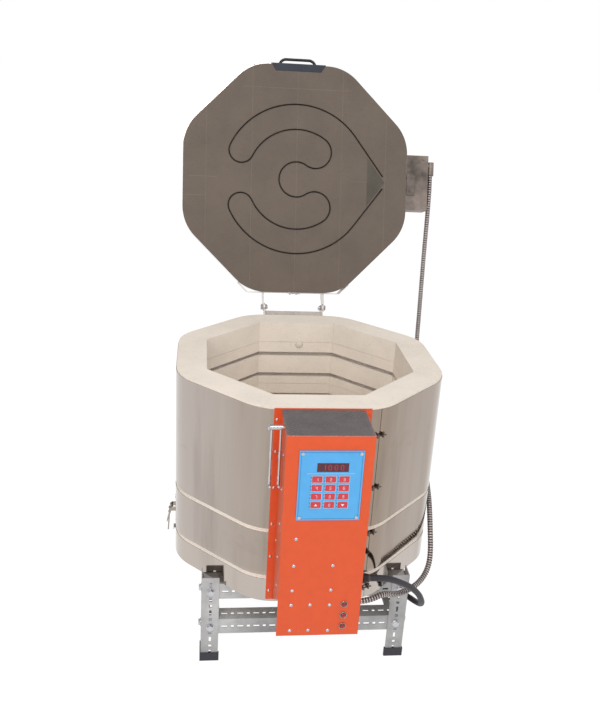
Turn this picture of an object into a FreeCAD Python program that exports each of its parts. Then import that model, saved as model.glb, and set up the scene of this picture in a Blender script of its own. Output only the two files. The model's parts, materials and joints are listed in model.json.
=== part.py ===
import FreeCAD, Part
import os
from math import atan2, cos, pi, radians, sin, sqrt, tan

V = FreeCAD.Vector
os.makedirs("parts", exist_ok=True)

# Electric kiln, millimetres. +Z is up, X to the right, the control box faces -Y.
# The origin is on the floor, on the axis of the octagonal body.

# Body and chamber
RIM_Z = 640.0
BODY_APOTHEM = 285.75
CHAMBER_APOTHEM = 221.0
CORNER_R = 108.0
CAP_COURSE_H = 50.0
COURSE_H = 111.0
SLAB_H = 58.0
JACKET_T = 0.9
JACKET_GAP = 0.2
JACKET_STEP = 4.5
HALF_SIDE = tan(radians(22.5))
CORNER_OUT = (BODY_APOTHEM - CORNER_R) / cos(radians(22.5)) + CORNER_R
BRICK_APOTHEM = BODY_APOTHEM - JACKET_T - JACKET_GAP
BRICK_CORNER_R = CORNER_R - JACKET_T - JACKET_GAP
SEAM_W = 2.0
CLAMP_DROPS = (60.0, 176.0, 282.0, 414.0)
CLAMP_H = 12.0
CLAMP_OUT = 9.0
CLAMP_NEAR = 5.0
CLAMP_FAR = 9.0
CLAMP_SCREW_R = 2.2
CLAMP_SCREW_TAIL = 18.0
SEAT_GAP = 0.3

# Element rows
GROOVE_H = 10.0
GROOVE_D = 12.0
ROW_DROPS = (31.5, 87.0)
COIL_D = 8.0
TAIL_D = 4.0
TAIL_X = -27.0
JUMPER_X = 25.0
BUSH_D = 12.0
BUSH_WALL = 3.7

# Lid
LID_T = 63.5
LID_GAP = 0.4
LID_BRICK_W = 114.3
LID_GROOVE_W = 7.0
LID_GROOVE_D = 7.0
LID_COIL_W = 6.4
LID_COIL_H = 5.6
OUTER_LOOP_R = 187.0
MIDDLE_LOOP_R = 125.0
INNER_LOOP_R = 44.0
LEAD_DEG = 36.87
LEAD_HALF = 15.0
CEMENT_CLEAR = 0.6
CEMENT_BACK = 5.0
CEMENT_T = 3.0
LEFT_TURN_DEG = 154.0
RIGHT_TURN_DEG = 55.6

# Lid hinge
HINGE_Y = 324.0
HINGE_RISE = 8.0
LID_OPEN_DEG = 107.0
EAR_X = 73.0
EAR_T = 3.0
ARM_T = 2.5
HINGE_BOSS_R = 10.0
PIVOT_R = 4.0
PIVOT_CLEARANCE = 0.08
STOP_BACK = 14.0
STOP_DROP = 6.0
STOP_R = 4.0

# Control box
BACK_PLATE_T = 1.5
BACK_PLATE_H = 433.0
BOX_HALF_W = 81.0
BOX_FRONT_Y = -400.0
BOX_TOP_DROP = 3.0
BOX_BOTTOM_DROP = 437.0
SHEET_T = 1.5
FLANGE_W = 12.0
BACK_PLATE_HALF_W = BOX_HALF_W + FLANGE_W + SHEET_T
SIDE_BACK_DROP = 434.0
SIDE_FRONT_DROP = 353.0
BOTTOM_LAP = 4.0
VENT_COUNT = 4
VENT_PITCH = 18.0
VENT_W = 8.0
VENT_MARGIN = 30.0
FACE_X = 3.1
FACE_DROP = 103.2
FACE_W = 118.6
FACE_H = 143.6
FACE_T = 2.0
FACE_SCREW_X = 53.4
FACE_SCREW_Z = 65.9
DISPLAY_DX = 3.0
DISPLAY_DROP = 65.0
DISPLAY_W = 58.0
DISPLAY_H = 17.8
KEY_COLS = (-21.4, 3.7, 28.7)
KEY_ROWS = (89.3, 107.0, 124.8, 142.5)
KEY_W = 18.0
KEY_H = 12.0
KEY_GAP = 0.3
KEY_PROUD = 0.8
KEY_TRAVEL = 0.5
LAMP_X = 48.8
LAMP_DROPS = (365.0, 390.3, 415.6)
LAMP_R = 5.0
BEZEL_R = 7.5
RIVET_R = 3.6
BOARD_Y = -388.0
BOARD_T = 1.6

# Hold-down hooks beside the control box
HOOK_BOLT_Y = -350.0
HOOK_BOLT_DROP = 10.0
HOOK_BOLT_R = 3.0
HOOK_ROD_R = 2.2
HOOK_CLEARANCE = 5.5
HOOK_INNER_X = -BOX_HALF_W - HOOK_CLEARANCE
HOOK_SPREAD = 17.0
HOOK_LEN = 116.0
HOOK_TIP = 11.0
KEEPER_RISE = 90.0
KEEPER_REACH = 12.0

# Draw latches on the two side faces
LATCH_Y = -20.0
RIGHT_LATCH_BACK = 45.0
LATCH_BASE_TOP = 338.0
LATCH_BASE_H = 40.0
LATCH_PIN_DROP = 372.0
LATCH_PIN_OUT = 11.0
LATCH_PLATE_W = 25.0
LEVER_LEN = 36.0
LEVER_W = 14.0
BAIL_LEN = 56.0
BAIL_WIRE_R = 1.5
LATCH_KEEPER_DROP = 402.0

# Stand of slotted angle
ANGLE_W = 38.0
ANGLE_T = 2.0
LEG_CLEARANCE = 7.0
LEG_HALF = ((BODY_APOTHEM + LEG_CLEARANCE) * sqrt(2) + ANGLE_W) / 2
LEG_TOP = 215.0
CAP_FLOOR_T = 2.0
CAP_WALL = 2.0
CAP_H = 21.0
BRACE_TOP = 108.0
SLOT_PITCH = 35.0
SLOT_L = 13.0
SLOT_W = 5.0
PUNCH_W = 6.5
SLOT_LINE = 20.0
STAND_BOLT_R = 4.0
HEX_R = 7.5
HEX_T = 5.5

# Junction box on the lid
JBOX_W = 57.0
JBOX_Y0 = -74.0
JBOX_Y1 = 66.0
JBOX_RISE = 5.0
JBOX_H = 50.0
JBOX_T = 1.5
ELBOW_R = 9.0
ELBOW_Y = -52.0
ELBOW_REACH = 12.0
ELBOW_LEN = 25.0

# Leads
CONDUIT_D = 13.0
CORD_D = 13.0
CORD_COIL_MEAN_R = 71.5
CORD_COIL_X = -10.0
CORD_COIL_Y = 345.0
GLAND_Y = -330.0
GLAND_DROP = 356.0
GLAND_LEN = 30.0
BOX_ELBOW_X = 52.0
BOX_ELBOW_Y = -330.0
BOX_ELBOW_NECK = 10.0
BOX_ELBOW_BORE_R = 7.0

# Heights worked out from the courses
CAP_BOTTOM = RIM_Z - CAP_COURSE_H
UPPER_BOTTOM = CAP_BOTTOM - 2 * COURSE_H
RING_BOTTOM = UPPER_BOTTOM - COURSE_H
BODY_BOTTOM = RING_BOTTOM - SLAB_H
COURSE_TOPS = (CAP_BOTTOM, CAP_BOTTOM - COURSE_H, UPPER_BOTTOM)
HINGE_Z = RIM_Z + HINGE_RISE
LID_Z = RIM_Z + LID_GAP
LID_REAR_Y = BODY_APOTHEM
PANEL_BACK_Y = BOX_FRONT_Y + SHEET_T
SWITCH_FRONT_Y = BOARD_Y - 4.0

# Terminals behind the control box, in front of its back plate
PLATE_BACK_Y = -BODY_APOTHEM - 0.2
PLATE_FRONT_Y = PLATE_BACK_Y - BACK_PLATE_T
BUSH_END_Y = PLATE_FRONT_Y - 14.0
TERMINAL_D = 14.0
TERMINAL_W = 24.0
TAIL_END_Y = BUSH_END_Y - 8.0

# Thermocouple and peephole
THERMO_X = 46.0
THERMO_R = 4.0
THERMO_Z = CAP_BOTTOM - 60.0
THERMO_REACH = 28.0
PEEP_X = 8.0
PEEP_Z = RIM_Z - 57.0
PEEP_R = 9.0
PEEP_HEAD_R = 14.0
PEEP_HEAD_T = 14.0

# Lid hardware
HANDLE_W = 138.0
HANDLE_LIP = 17.0
HANDLE_MITRE = 12.0
LIP_RISE = 0.1
HANDLE_T = 1.5
GRIP_W = 92.0
GRIP_R = 3.5
GRIP_GAP = 18.0
GRIP_BEND = 10.0
STRAP_T = 2.0
STRAP_H = 48.0
STRAP_TURN = 34.0
KEEPER_X0 = HOOK_INNER_X - HOOK_SPREAD - 7.5
KEEPER_X1 = HOOK_INNER_X + 3.5
BRACKET_W = 22.0
BRACKET_LOW = 72.0
BRACKET_HIGH = 22.0
BRACKET_BAR_H = 12.0

# Rivets: X and drop on the front, drops on the flanges, Y and drop on the sides
PANEL_RIVETS = ((-53.0, 217.0), (-54.5, 276.5), (20.5, 276.5), (-54.5, 332.0), (20.5, 332.0), (-54.8, 365.5),
                (-18.0, 365.5), (20.3, 366.5), (-54.8, 425.0), (-18.5, 425.0), (20.3, 426.5))
FLANGE_RIVET_DROPS = (23.0, 91.0, 170.0, 253.0, 329.0, 412.0)
WEB_RIVETS = ((-362.0, 60.0), (-362.0, 132.0), (-362.0, 206.0), (-352.0, 287.0), (-362.0, 345.0), (-309.0, 277.0))

# Latch bail pin and the plug on the cord's tail
BAIL_PIN_OUT = LATCH_PIN_OUT + 4.0
BAIL_PIN_DROP = LATCH_PIN_DROP + 7.0
PLUG_X = CORD_COIL_X - 88.0
PLUG_Z = 19.2


def save(name, shapes):
    solids = [s for shape in shapes for s in shape.Solids]
    shape = solids[0] if len(solids) == 1 else Part.makeCompound(solids)
    shape.exportStep("parts/" + name + ".step")
    print(name, len(solids), "solids", round(sum(s.Volume for s in solids) / 1000, 2), "cm3")


def box(x0, x1, y0, y1, z0, z1):
    return Part.makeBox(x1 - x0, y1 - y0, z1 - z0, V(x0, y0, z0))


def cylinder(r, p0, p1):
    axis = V(*p1) - V(*p0)
    return Part.makeCylinder(r, axis.Length, V(*p0), axis)


def prism(points, direction):
    wire = Part.makePolygon([V(*p) for p in points] + [V(*points[0])])
    return Part.Face(wire).extrude(V(*direction))


def hex_prism(r, p0, p1):
    """Hexagon of corner radius r from p0 to p1, both on one line parallel to X or Y."""
    p0, p1 = V(*p0), V(*p1)
    axis = (p1 - p0).normalize()
    side = V(0, 0, 1)
    other = axis.cross(side)
    corners = []
    for k in range(6):
        a = radians(60 * k)
        corners.append(p0 + side * (r * cos(a)) + other * (r * sin(a)))
    face = Part.Face(Part.makePolygon(corners + [corners[0]]))
    return face.extrude(p1 - p0)


def octagon_prism(apothem, corner_r, z0, z1):
    """Octagon with flats on the axes and round corners, extruded from z0 to z1."""
    corner = apothem / cos(radians(22.5))
    if corner_r <= 0:
        points = []
        for k in range(8):
            a = radians(22.5 + 45 * k)
            points.append((corner * cos(a), corner * sin(a), z0))
        return prism(points, (0, 0, z1 - z0))
    centre = (apothem - corner_r) / cos(radians(22.5))
    arcs = []
    for k in range(8):
        a = 22.5 + 45 * k
        c = V(centre * cos(radians(a)), centre * sin(radians(a)), z0)
        bearings = [radians(b) for b in (a - 22.5, a, a + 22.5)]
        turn = [c + V(corner_r * cos(b), corner_r * sin(b), 0) for b in bearings]
        arcs.append(turn)
    edges = []
    for k, turn in enumerate(arcs):
        edges.append(Part.Arc(*turn).toShape())
        edges.append(Part.LineSegment(turn[2], arcs[(k + 1) % 8][0]).toShape())
    return Part.Face(Part.Wire(edges)).extrude(V(0, 0, z1 - z0))


def octagon_ring(outer, outer_r, inner, inner_r, z0, z1):
    return octagon_prism(outer, outer_r, z0, z1).cut(octagon_prism(inner, inner_r, z0 - 1, z1 + 1))


def front_wedge(z0, z1):
    """The eighth of the plan that holds the front flat."""
    r = BODY_APOTHEM * 2
    left, right = radians(-112.5), radians(-67.5)
    points = [(0, 0, z0), (r * cos(left), r * sin(left), z0), (r * cos(right), r * sin(right), z0)]
    return prism(points, (0, 0, z1 - z0))


def turned(shape, degrees_about_z):
    copy = shape.copy()
    copy.rotate(V(0, 0, 0), V(0, 0, 1), degrees_about_z)
    return copy


def mirrored_x(shape):
    return shape.mirror(V(0, 0, 0), V(1, 0, 0))


def row_heights():
    return [top - drop for top in COURSE_TOPS for drop in ROW_DROPS]


def front_openings():
    """Holes in the front wall for the element tails and the thermocouple."""
    holes = [cylinder(BUSH_D / 2 + SEAT_GAP, (TAIL_X, -CHAMBER_APOTHEM + 1, z), (TAIL_X, -BODY_APOTHEM - 5, z))
             for z in row_heights()]
    holes.append(cylinder(THERMO_R + SEAT_GAP, (THERMO_X, -CHAMBER_APOTHEM + 1, THERMO_Z),
                          (THERMO_X, -BODY_APOTHEM - 5, THERMO_Z)))
    return holes


def peephole():
    return cylinder(PEEP_R + SEAT_GAP, (PEEP_X, 0, PEEP_Z), (PEEP_X, BODY_APOTHEM + 5, PEEP_Z))


def wall_bricks():
    """Four courses of eight mitred bricks, with two element grooves in each full course."""
    bricks = []
    levels = [(CAP_BOTTOM, RIM_Z, ())]
    for top in COURSE_TOPS:
        levels.append((top - COURSE_H, top, ROW_DROPS))
    for bottom, top, drops in levels:
        ring = octagon_ring(BRICK_APOTHEM, BRICK_CORNER_R, CHAMBER_APOTHEM, 0, bottom, top)
        for drop in drops:
            z = top - drop
            ring = ring.cut(octagon_prism(CHAMBER_APOTHEM + GROOVE_D, 0, z - GROOVE_H / 2, z + GROOVE_H / 2))
        brick = ring.common(front_wedge(bottom - 1, top + 1))
        for k in range(8):
            copy = turned(brick, 45 * k)
            if k == 0:
                copy = copy.cut(Part.makeCompound(front_openings()))
                if drops:
                    back = -CHAMBER_APOTHEM - GROOVE_D
                    copy = copy.cut(box(JUMPER_X - GROOVE_H / 2, JUMPER_X + GROOVE_H / 2,
                                        back, -CHAMBER_APOTHEM + 1, top - drops[1], top - drops[0]))
            if k == 4:
                copy = copy.cut(peephole())
            bricks.append(copy)
    return bricks


def floor_slab():
    """Brick strips of one brick's width, cemented side by side."""
    slab = octagon_prism(BRICK_APOTHEM, BRICK_CORNER_R, BODY_BOTTOM, RING_BOTTOM)
    return strips(slab, BODY_BOTTOM, RING_BOTTOM)


def strips(slab, z0, z1):
    edges = [-BODY_APOTHEM, -2 * LID_BRICK_W, -LID_BRICK_W, 0, LID_BRICK_W, 2 * LID_BRICK_W, BODY_APOTHEM]
    out = []
    for left, right in zip(edges, edges[1:]):
        out.append(slab.common(box(left, right, -BODY_APOTHEM, BODY_APOTHEM, z0 - 1, z1 + 1)))
    return out


def jackets():
    spans = ((UPPER_BOTTOM + JACKET_STEP, RIM_Z - JACKET_STEP),
             (RING_BOTTOM + JACKET_STEP, UPPER_BOTTOM - JACKET_STEP),
             (BODY_BOTTOM, RING_BOTTOM - JACKET_STEP))
    out = []
    holes = front_openings()
    holes.append(peephole())
    for z0, z1 in spans:
        sheet = octagon_ring(BODY_APOTHEM, CORNER_R, BODY_APOTHEM - JACKET_T, CORNER_R - JACKET_T, z0, z1)
        seam = turned(box(-SEAM_W / 2, SEAM_W / 2, -CORNER_OUT - 1, -CORNER_OUT + JACKET_T + 1, z0, z1), 22.5)
        out.append(sheet.cut(Part.makeCompound(holes + [seam])))
    return out


def jacket_clamps():
    """Screw clamps that pull the jacket's ends together at the seam on the corner."""
    out = []
    for drop in CLAMP_DROPS:
        z = RIM_Z - drop
        y = -CORNER_OUT
        clamp = cylinder(CLAMP_SCREW_R, (-CLAMP_FAR - 4, y - CLAMP_OUT / 2, z), (CLAMP_SCREW_TAIL, y - CLAMP_OUT / 2, z))
        for side in (-1, 1):
            x0, x1 = sorted((side * CLAMP_NEAR, side * CLAMP_FAR))
            clamp = clamp.fuse(box(x0, x1, y - CLAMP_OUT, y, z - CLAMP_H / 2, z + CLAMP_H / 2))
        out.append(turned(clamp, 22.5))
    return out


def wall_elements():
    """Each element lies in two rows, joined at the front, with both tails through the front wall."""
    a = CHAMBER_APOTHEM + GROOVE_D / 2 + 1
    corner = a / cos(radians(22.5))
    bearings = [radians(-112.5 - 45 * k) for k in range(8)]
    loop = [(corner * cos(b), corner * sin(b)) for b in bearings]
    out = []
    for top in COURSE_TOPS:
        rows = [top - drop - (GROOVE_H - COIL_D) / 2 + SEAT_GAP for drop in ROW_DROPS]
        points = [V(TAIL_X + 2, -a, rows[0])]
        points += [V(x, y, rows[0]) for x, y in loop]
        points += [V(JUMPER_X, -a, rows[0]), V(JUMPER_X, -a, rows[1])]
        points += [V(x, y, rows[1]) for x, y in reversed(loop)]
        points.append(V(TAIL_X + 2, -a, rows[1]))
        path = Part.makePolygon(points)
        profile = Part.Wire(Part.makeCircle(COIL_D / 2, points[0], points[1] - points[0]))
        coil = path.makePipeShell([profile], True, False, 1)
        half = TAIL_D / 2
        for drop in ROW_DROPS:
            z = top - drop
            tail = box(TAIL_X - half, TAIL_X + half, TAIL_END_Y, -a + half, z - half, z + half)
            link = box(TAIL_X - half, TAIL_X + TAIL_D, -a - half, -a + half, z - half, z + half)
            coil = coil.fuse(tail.fuse(link))
        out.append(coil)
    return out


def terminal_parts():
    """Porcelain bushes through the wall and the terminal strip that takes the tails."""
    out = []
    for z in row_heights():
        bush = cylinder(BUSH_D / 2, (TAIL_X, -CHAMBER_APOTHEM - GROOVE_D, z), (TAIL_X, BUSH_END_Y, z))
        bore = cylinder(TAIL_D / 2 + 1.1, (TAIL_X, -CHAMBER_APOTHEM, z), (TAIL_X, BUSH_END_Y - 1, z))
        out.append(bush.cut(bore))
    rows = row_heights()
    half = TERMINAL_W / 2
    strip = box(TAIL_X - half, TAIL_X + half, BUSH_END_Y - TERMINAL_D, BUSH_END_Y, rows[-1] - 14, rows[0] + 14)
    for z in rows:
        strip = strip.cut(cylinder(TAIL_D / 2 + 1.1, (TAIL_X, BUSH_END_Y + 1, z), (TAIL_X, TAIL_END_Y - 0.5, z)))
        strip = strip.cut(box(TAIL_X - 7, TAIL_X + 7, BUSH_END_Y - TERMINAL_D - 1, BUSH_END_Y - TERMINAL_D + 4,
                              z - 8, z + 8))
        screw = cylinder(4.0, (TAIL_X, BUSH_END_Y - TERMINAL_D + 4, z), (TAIL_X, BUSH_END_Y - TERMINAL_D + 1, z))
        out.append(screw)
    out.append(strip)
    return out


def thermocouple():
    rod = cylinder(THERMO_R, (THERMO_X, -CHAMBER_APOTHEM + THERMO_REACH, THERMO_Z),
                   (THERMO_X, PLATE_FRONT_Y - 4, THERMO_Z))
    block = box(THERMO_X - 14, THERMO_X + 14, PLATE_FRONT_Y - 22, PLATE_FRONT_Y, THERMO_Z - 11, THERMO_Z + 11)
    return rod.fuse(block)


def peephole_plug():
    y = BODY_APOTHEM
    shank = Part.makeCone(PEEP_R - 1.5, PEEP_R, y - CHAMBER_APOTHEM, V(PEEP_X, CHAMBER_APOTHEM, PEEP_Z), V(0, 1, 0))
    head = cylinder(PEEP_HEAD_R, (PEEP_X, y, PEEP_Z), (PEEP_X, y + PEEP_HEAD_T, PEEP_Z))
    return shank.fuse(head).removeSplitter()


def hinge_bracket():
    """Base plate on the rear flat, two ears with pivot and stop holes, and the cross bar between them."""
    y0 = BODY_APOTHEM
    plate_t = EAR_T
    out = []
    for side in (-1, 1):
        inner, outer = sorted((side * EAR_X, side * (EAR_X + EAR_T)))
        foot_in, foot_out = sorted((side * (EAR_X - BRACKET_W), side * (EAR_X + EAR_T)))
        low, high = HINGE_Z - BRACKET_LOW, HINGE_Z - BRACKET_HIGH
        foot = box(foot_in, foot_out, y0, y0 + plate_t, low, high)
        web = prism([(inner, y0 + plate_t, low), (inner, y0 + plate_t, high),
                     (inner, HINGE_Y - 8, HINGE_Z - 4), (inner, HINGE_Y - 6, HINGE_Z + 8),
                     (inner, HINGE_Y + 6, HINGE_Z + 8), (inner, HINGE_Y + 18, HINGE_Z + 2),
                     (inner, HINGE_Y + 23, HINGE_Z - STOP_DROP - 6), (inner, HINGE_Y + 8, HINGE_Z - 24)],
                    (outer - inner, 0, 0))
        ear = foot.fuse(web)
        ear = ear.fuse(cylinder(HINGE_BOSS_R, (inner, HINGE_Y, HINGE_Z), (outer, HINGE_Y, HINGE_Z)))
        for r, y, z in ((PIVOT_R, HINGE_Y, HINGE_Z), (STOP_R, HINGE_Y + STOP_BACK, HINGE_Z - STOP_DROP)):
            ear = ear.cut(cylinder(r, (inner - 1, y, z), (outer + 1, y, z)))
        for z in (low + HINGE_BOSS_R, high - HINGE_BOSS_R - 2):
            x = side * (EAR_X - BRACKET_W / 2 - 1)
            ear = ear.fuse(hex_prism(5.0, (x, y0 + plate_t, z), (x, y0 + plate_t + 3.5, z)))
        out.append(ear.removeSplitter())
    bar_top = HINGE_Z - BRACKET_HIGH + BRACKET_BAR_H
    out.append(box(-EAR_X, EAR_X, HINGE_Y - 2, HINGE_Y, HINGE_Z - BRACKET_HIGH, bar_top))
    return out


def hinge_bolts():
    """Two pivot bolts that carry the lid's arms, and two stop bolts that hold the lid open."""
    out = []
    for side in (-1, 1):
        inner = side * (EAR_X - 0.2)
        ear_out = side * (EAR_X + EAR_T)
        head_in = side * (EAR_X + EAR_T + ARM_T + 2 * SEAT_GAP)
        head_out = head_in + side * 4.0
        for r, y, z in ((PIVOT_R, HINGE_Y, HINGE_Z), (STOP_R, HINGE_Y + STOP_BACK, HINGE_Z - STOP_DROP)):
            shank = cylinder(r, (inner - side * 7, y, z), (head_in, y, z))
            head = hex_prism(r + 3.0, (head_in, y, z), (head_out, y, z))
            nut = hex_prism(r + 3.0, (side * EAR_X, y, z), (side * (EAR_X - 4.5), y, z))
            out.append(shank.fuse(head).fuse(nut).removeSplitter())
    return out


def lid_loop_edges():
    """Centre line of the lid element: three concentric arcs a side, joined by round turns."""
    tangent = LEAD_DEG
    apex = OUTER_LOOP_R / cos(lead_angle())
    start_y = LEAD_HALF
    start_x = apex - start_y * tan(lead_angle())
    left_turn_r = (OUTER_LOOP_R - MIDDLE_LOOP_R) / 2
    right_turn_r = (MIDDLE_LOOP_R - INNER_LOOP_R) / 2

    def at(r, a):
        return V(r * cos(radians(a)), r * sin(radians(a)), 0)

    def turn(mean_r, turn_r, a, sign):
        centre = at(mean_r, a)
        return centre + at(turn_r, a + 90 * sign)

    upper = [Part.LineSegment(V(start_x, start_y, 0), at(OUTER_LOOP_R, tangent)).toShape(),
             Part.Arc(at(OUTER_LOOP_R, tangent), at(OUTER_LOOP_R, 95), at(OUTER_LOOP_R, LEFT_TURN_DEG)).toShape(),
             Part.Arc(at(OUTER_LOOP_R, LEFT_TURN_DEG),
                      turn(OUTER_LOOP_R - left_turn_r, left_turn_r, LEFT_TURN_DEG, 1),
                      at(MIDDLE_LOOP_R, LEFT_TURN_DEG)).toShape(),
             Part.Arc(at(MIDDLE_LOOP_R, LEFT_TURN_DEG), at(MIDDLE_LOOP_R, 100),
                      at(MIDDLE_LOOP_R, RIGHT_TURN_DEG)).toShape(),
             Part.Arc(at(MIDDLE_LOOP_R, RIGHT_TURN_DEG),
                      turn(MIDDLE_LOOP_R - right_turn_r, right_turn_r, RIGHT_TURN_DEG, -1),
                      at(INNER_LOOP_R, RIGHT_TURN_DEG)).toShape()]
    lower = [e.mirror(V(0, 0, 0), V(0, 1, 0)) for e in upper]
    middle = Part.Arc(at(INNER_LOOP_R, RIGHT_TURN_DEG), at(INNER_LOOP_R, 180),
                      at(INNER_LOOP_R, -RIGHT_TURN_DEG)).toShape()
    return upper, middle, lower, start_x


def lead_angle():
    """Angle at the centre between the X axis and the point where a straight lead leaves the outer arc."""
    return radians(LEAD_DEG)


def band_face(edge, width):
    """Flat strip of the given width along a straight or round edge in the plan."""
    curve = edge.Curve
    p0, p1 = edge.Vertexes[0].Point, edge.Vertexes[-1].Point
    half = width / 2
    if isinstance(curve, Part.Circle):
        c, r = curve.Center, curve.Radius
        mid = edge.valueAt((edge.FirstParameter + edge.LastParameter) / 2)
        d0, dm, d1 = [(p - c).normalize() for p in (p0, mid, p1)]
        outer = Part.Arc(c + d0 * (r + half), c + dm * (r + half), c + d1 * (r + half)).toShape()
        inner = Part.Arc(c + d1 * (r - half), c + dm * (r - half), c + d0 * (r - half)).toShape()
        ends = [Part.LineSegment(c + d1 * (r + half), c + d1 * (r - half)).toShape(),
                Part.LineSegment(c + d0 * (r - half), c + d0 * (r + half)).toShape()]
        return Part.Face(Part.Wire([outer, ends[0], inner, ends[1]]))
    along = (p1 - p0).normalize()
    side = V(-along.y, along.x, 0) * half
    corners = [p0 + side, p1 + side, p1 - side, p0 - side]
    return Part.Face(Part.makePolygon(corners + [corners[0]]))


def loop_bar(width, z0, z1):
    """The meander as one bar of rectangular section between z0 and z1."""
    upper, middle, lower, _ = lid_loop_edges()
    parts = []
    for edge in upper + [middle] + lower:
        face = band_face(edge, width)
        face.translate(V(0, 0, z0))
        parts.append(face.extrude(V(0, 0, z1 - z0)))
    bar = parts[0].multiFuse(parts[1:])
    return bar.removeSplitter()


def lead_rods(width, x1, z0, z1):
    start_x = lid_loop_edges()[3]
    half = width / 2
    return [box(start_x - 3, x1, y - half, y + half, z0, z1) for y in (-LEAD_HALF, LEAD_HALF)]


def lid_slab():
    slab = octagon_prism(BRICK_APOTHEM, BRICK_CORNER_R, LID_Z, LID_Z + LID_T)
    groove = loop_bar(LID_GROOVE_W, LID_Z - 1, LID_Z + LID_GROOVE_D)
    cuts = [groove] + lead_rods(5.0, BODY_APOTHEM + 5, LID_Z + 1.4, LID_Z + 6.4) + [lead_cement(0.0)]
    cuts.append(handle_lip(SEAT_GAP, LID_Z - 1, LID_Z + LIP_RISE + HANDLE_T))
    for cut in cuts:
        slab = slab.cut(cut)
    return strips(slab, LID_Z, LID_Z + LID_T)


def lead_cement(shrink):
    """Triangle of cement that seals the leads between the two converging grooves."""
    lean = lead_angle()
    point_x = OUTER_LOOP_R / cos(lean) - (LID_GROOVE_W / 2 + CEMENT_CLEAR) / sin(lean) - shrink
    back_x = OUTER_LOOP_R - CEMENT_BACK
    half = (point_x - back_x) / tan(lean)
    points = [(back_x, -half, LID_Z), (point_x, 0, LID_Z), (back_x, half, LID_Z)]
    return prism(points, (0, 0, CEMENT_T))


def lid_element():
    z0 = LID_Z + LID_GROOVE_D - SEAT_GAP - LID_COIL_H
    z1 = LID_Z + LID_GROOVE_D - SEAT_GAP
    bar = loop_bar(LID_COIL_W, z0, z1)
    for rod in lead_rods(4.0, BODY_APOTHEM + 18, LID_Z + 1.9, LID_Z + 5.9):
        bar = bar.fuse(rod)
    return bar.removeSplitter()


def lid_band():
    band = octagon_ring(BODY_APOTHEM, CORNER_R, BODY_APOTHEM - JACKET_T, CORNER_R - JACKET_T,
                        LID_Z + 2.0, LID_Z + LID_T)
    for rod in lead_rods(6.0, BODY_APOTHEM + 5, LID_Z + 0.9, LID_Z + 6.9):
        band = band.cut(rod)
    return band


def handle_lip(grow, z0, z1):
    """Mitred lip of the handle bracket between two heights, grown sideways by a gap."""
    y = -BODY_APOTHEM
    wide, narrow = HANDLE_W / 2 + grow, HANDLE_W / 2 - HANDLE_MITRE + grow
    return prism([(-wide, y - HANDLE_T, z0), (wide, y - HANDLE_T, z0),
                  (narrow, y + HANDLE_LIP + grow, z0), (-narrow, y + HANDLE_LIP + grow, z0)], (0, 0, z1 - z0))


def handle_bracket():
    """Sheet folded round the lid's front edge, its lower lip let into the brick and its upper lip on top."""
    y = -BODY_APOTHEM
    z0, z1 = LID_Z + LIP_RISE, LID_Z + LID_T + HANDLE_T
    web = box(-HANDLE_W / 2, HANDLE_W / 2, y - HANDLE_T, y, z0, z1)
    under = handle_lip(0, z0, z0 + HANDLE_T)
    over = handle_lip(0, z1 - HANDLE_T, z1)
    return web.fuse(under).fuse(over).removeSplitter()


def handle_grip():
    y = -BODY_APOTHEM - HANDLE_T
    z = LID_Z + LID_T / 2
    half = GRIP_W / 2
    reach = GRIP_GAP + GRIP_R
    bend = GRIP_BEND
    left = cylinder(GRIP_R, (-half, y, z), (-half, y - reach + bend, z))
    right = cylinder(GRIP_R, (half, y, z), (half, y - reach + bend, z))
    bar = cylinder(GRIP_R, (-half + bend, y - reach, z), (half - bend, y - reach, z))
    grip = left.fuse(right).fuse(bar)
    for side in (-1, 1):
        centre = V(side * (half - bend), y - reach + bend, z)
        mid = centre + V(side * bend * sin(radians(45)), -bend * sin(radians(45)), 0)
        arc = Part.Arc(V(side * half, y - reach + bend, z), mid, V(side * (half - bend), y - reach, z)).toShape()
        profile = Part.Wire(Part.makeCircle(GRIP_R, V(side * half, y - reach + bend, z), V(0, -1, 0)))
        grip = grip.fuse(Part.Wire([arc]).makePipeShell([profile], True, False))
        grip = grip.fuse(cylinder(GRIP_R + 4, (side * half, y - 1.5, z), (side * half, y, z)))
    return grip.removeSplitter()


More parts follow.
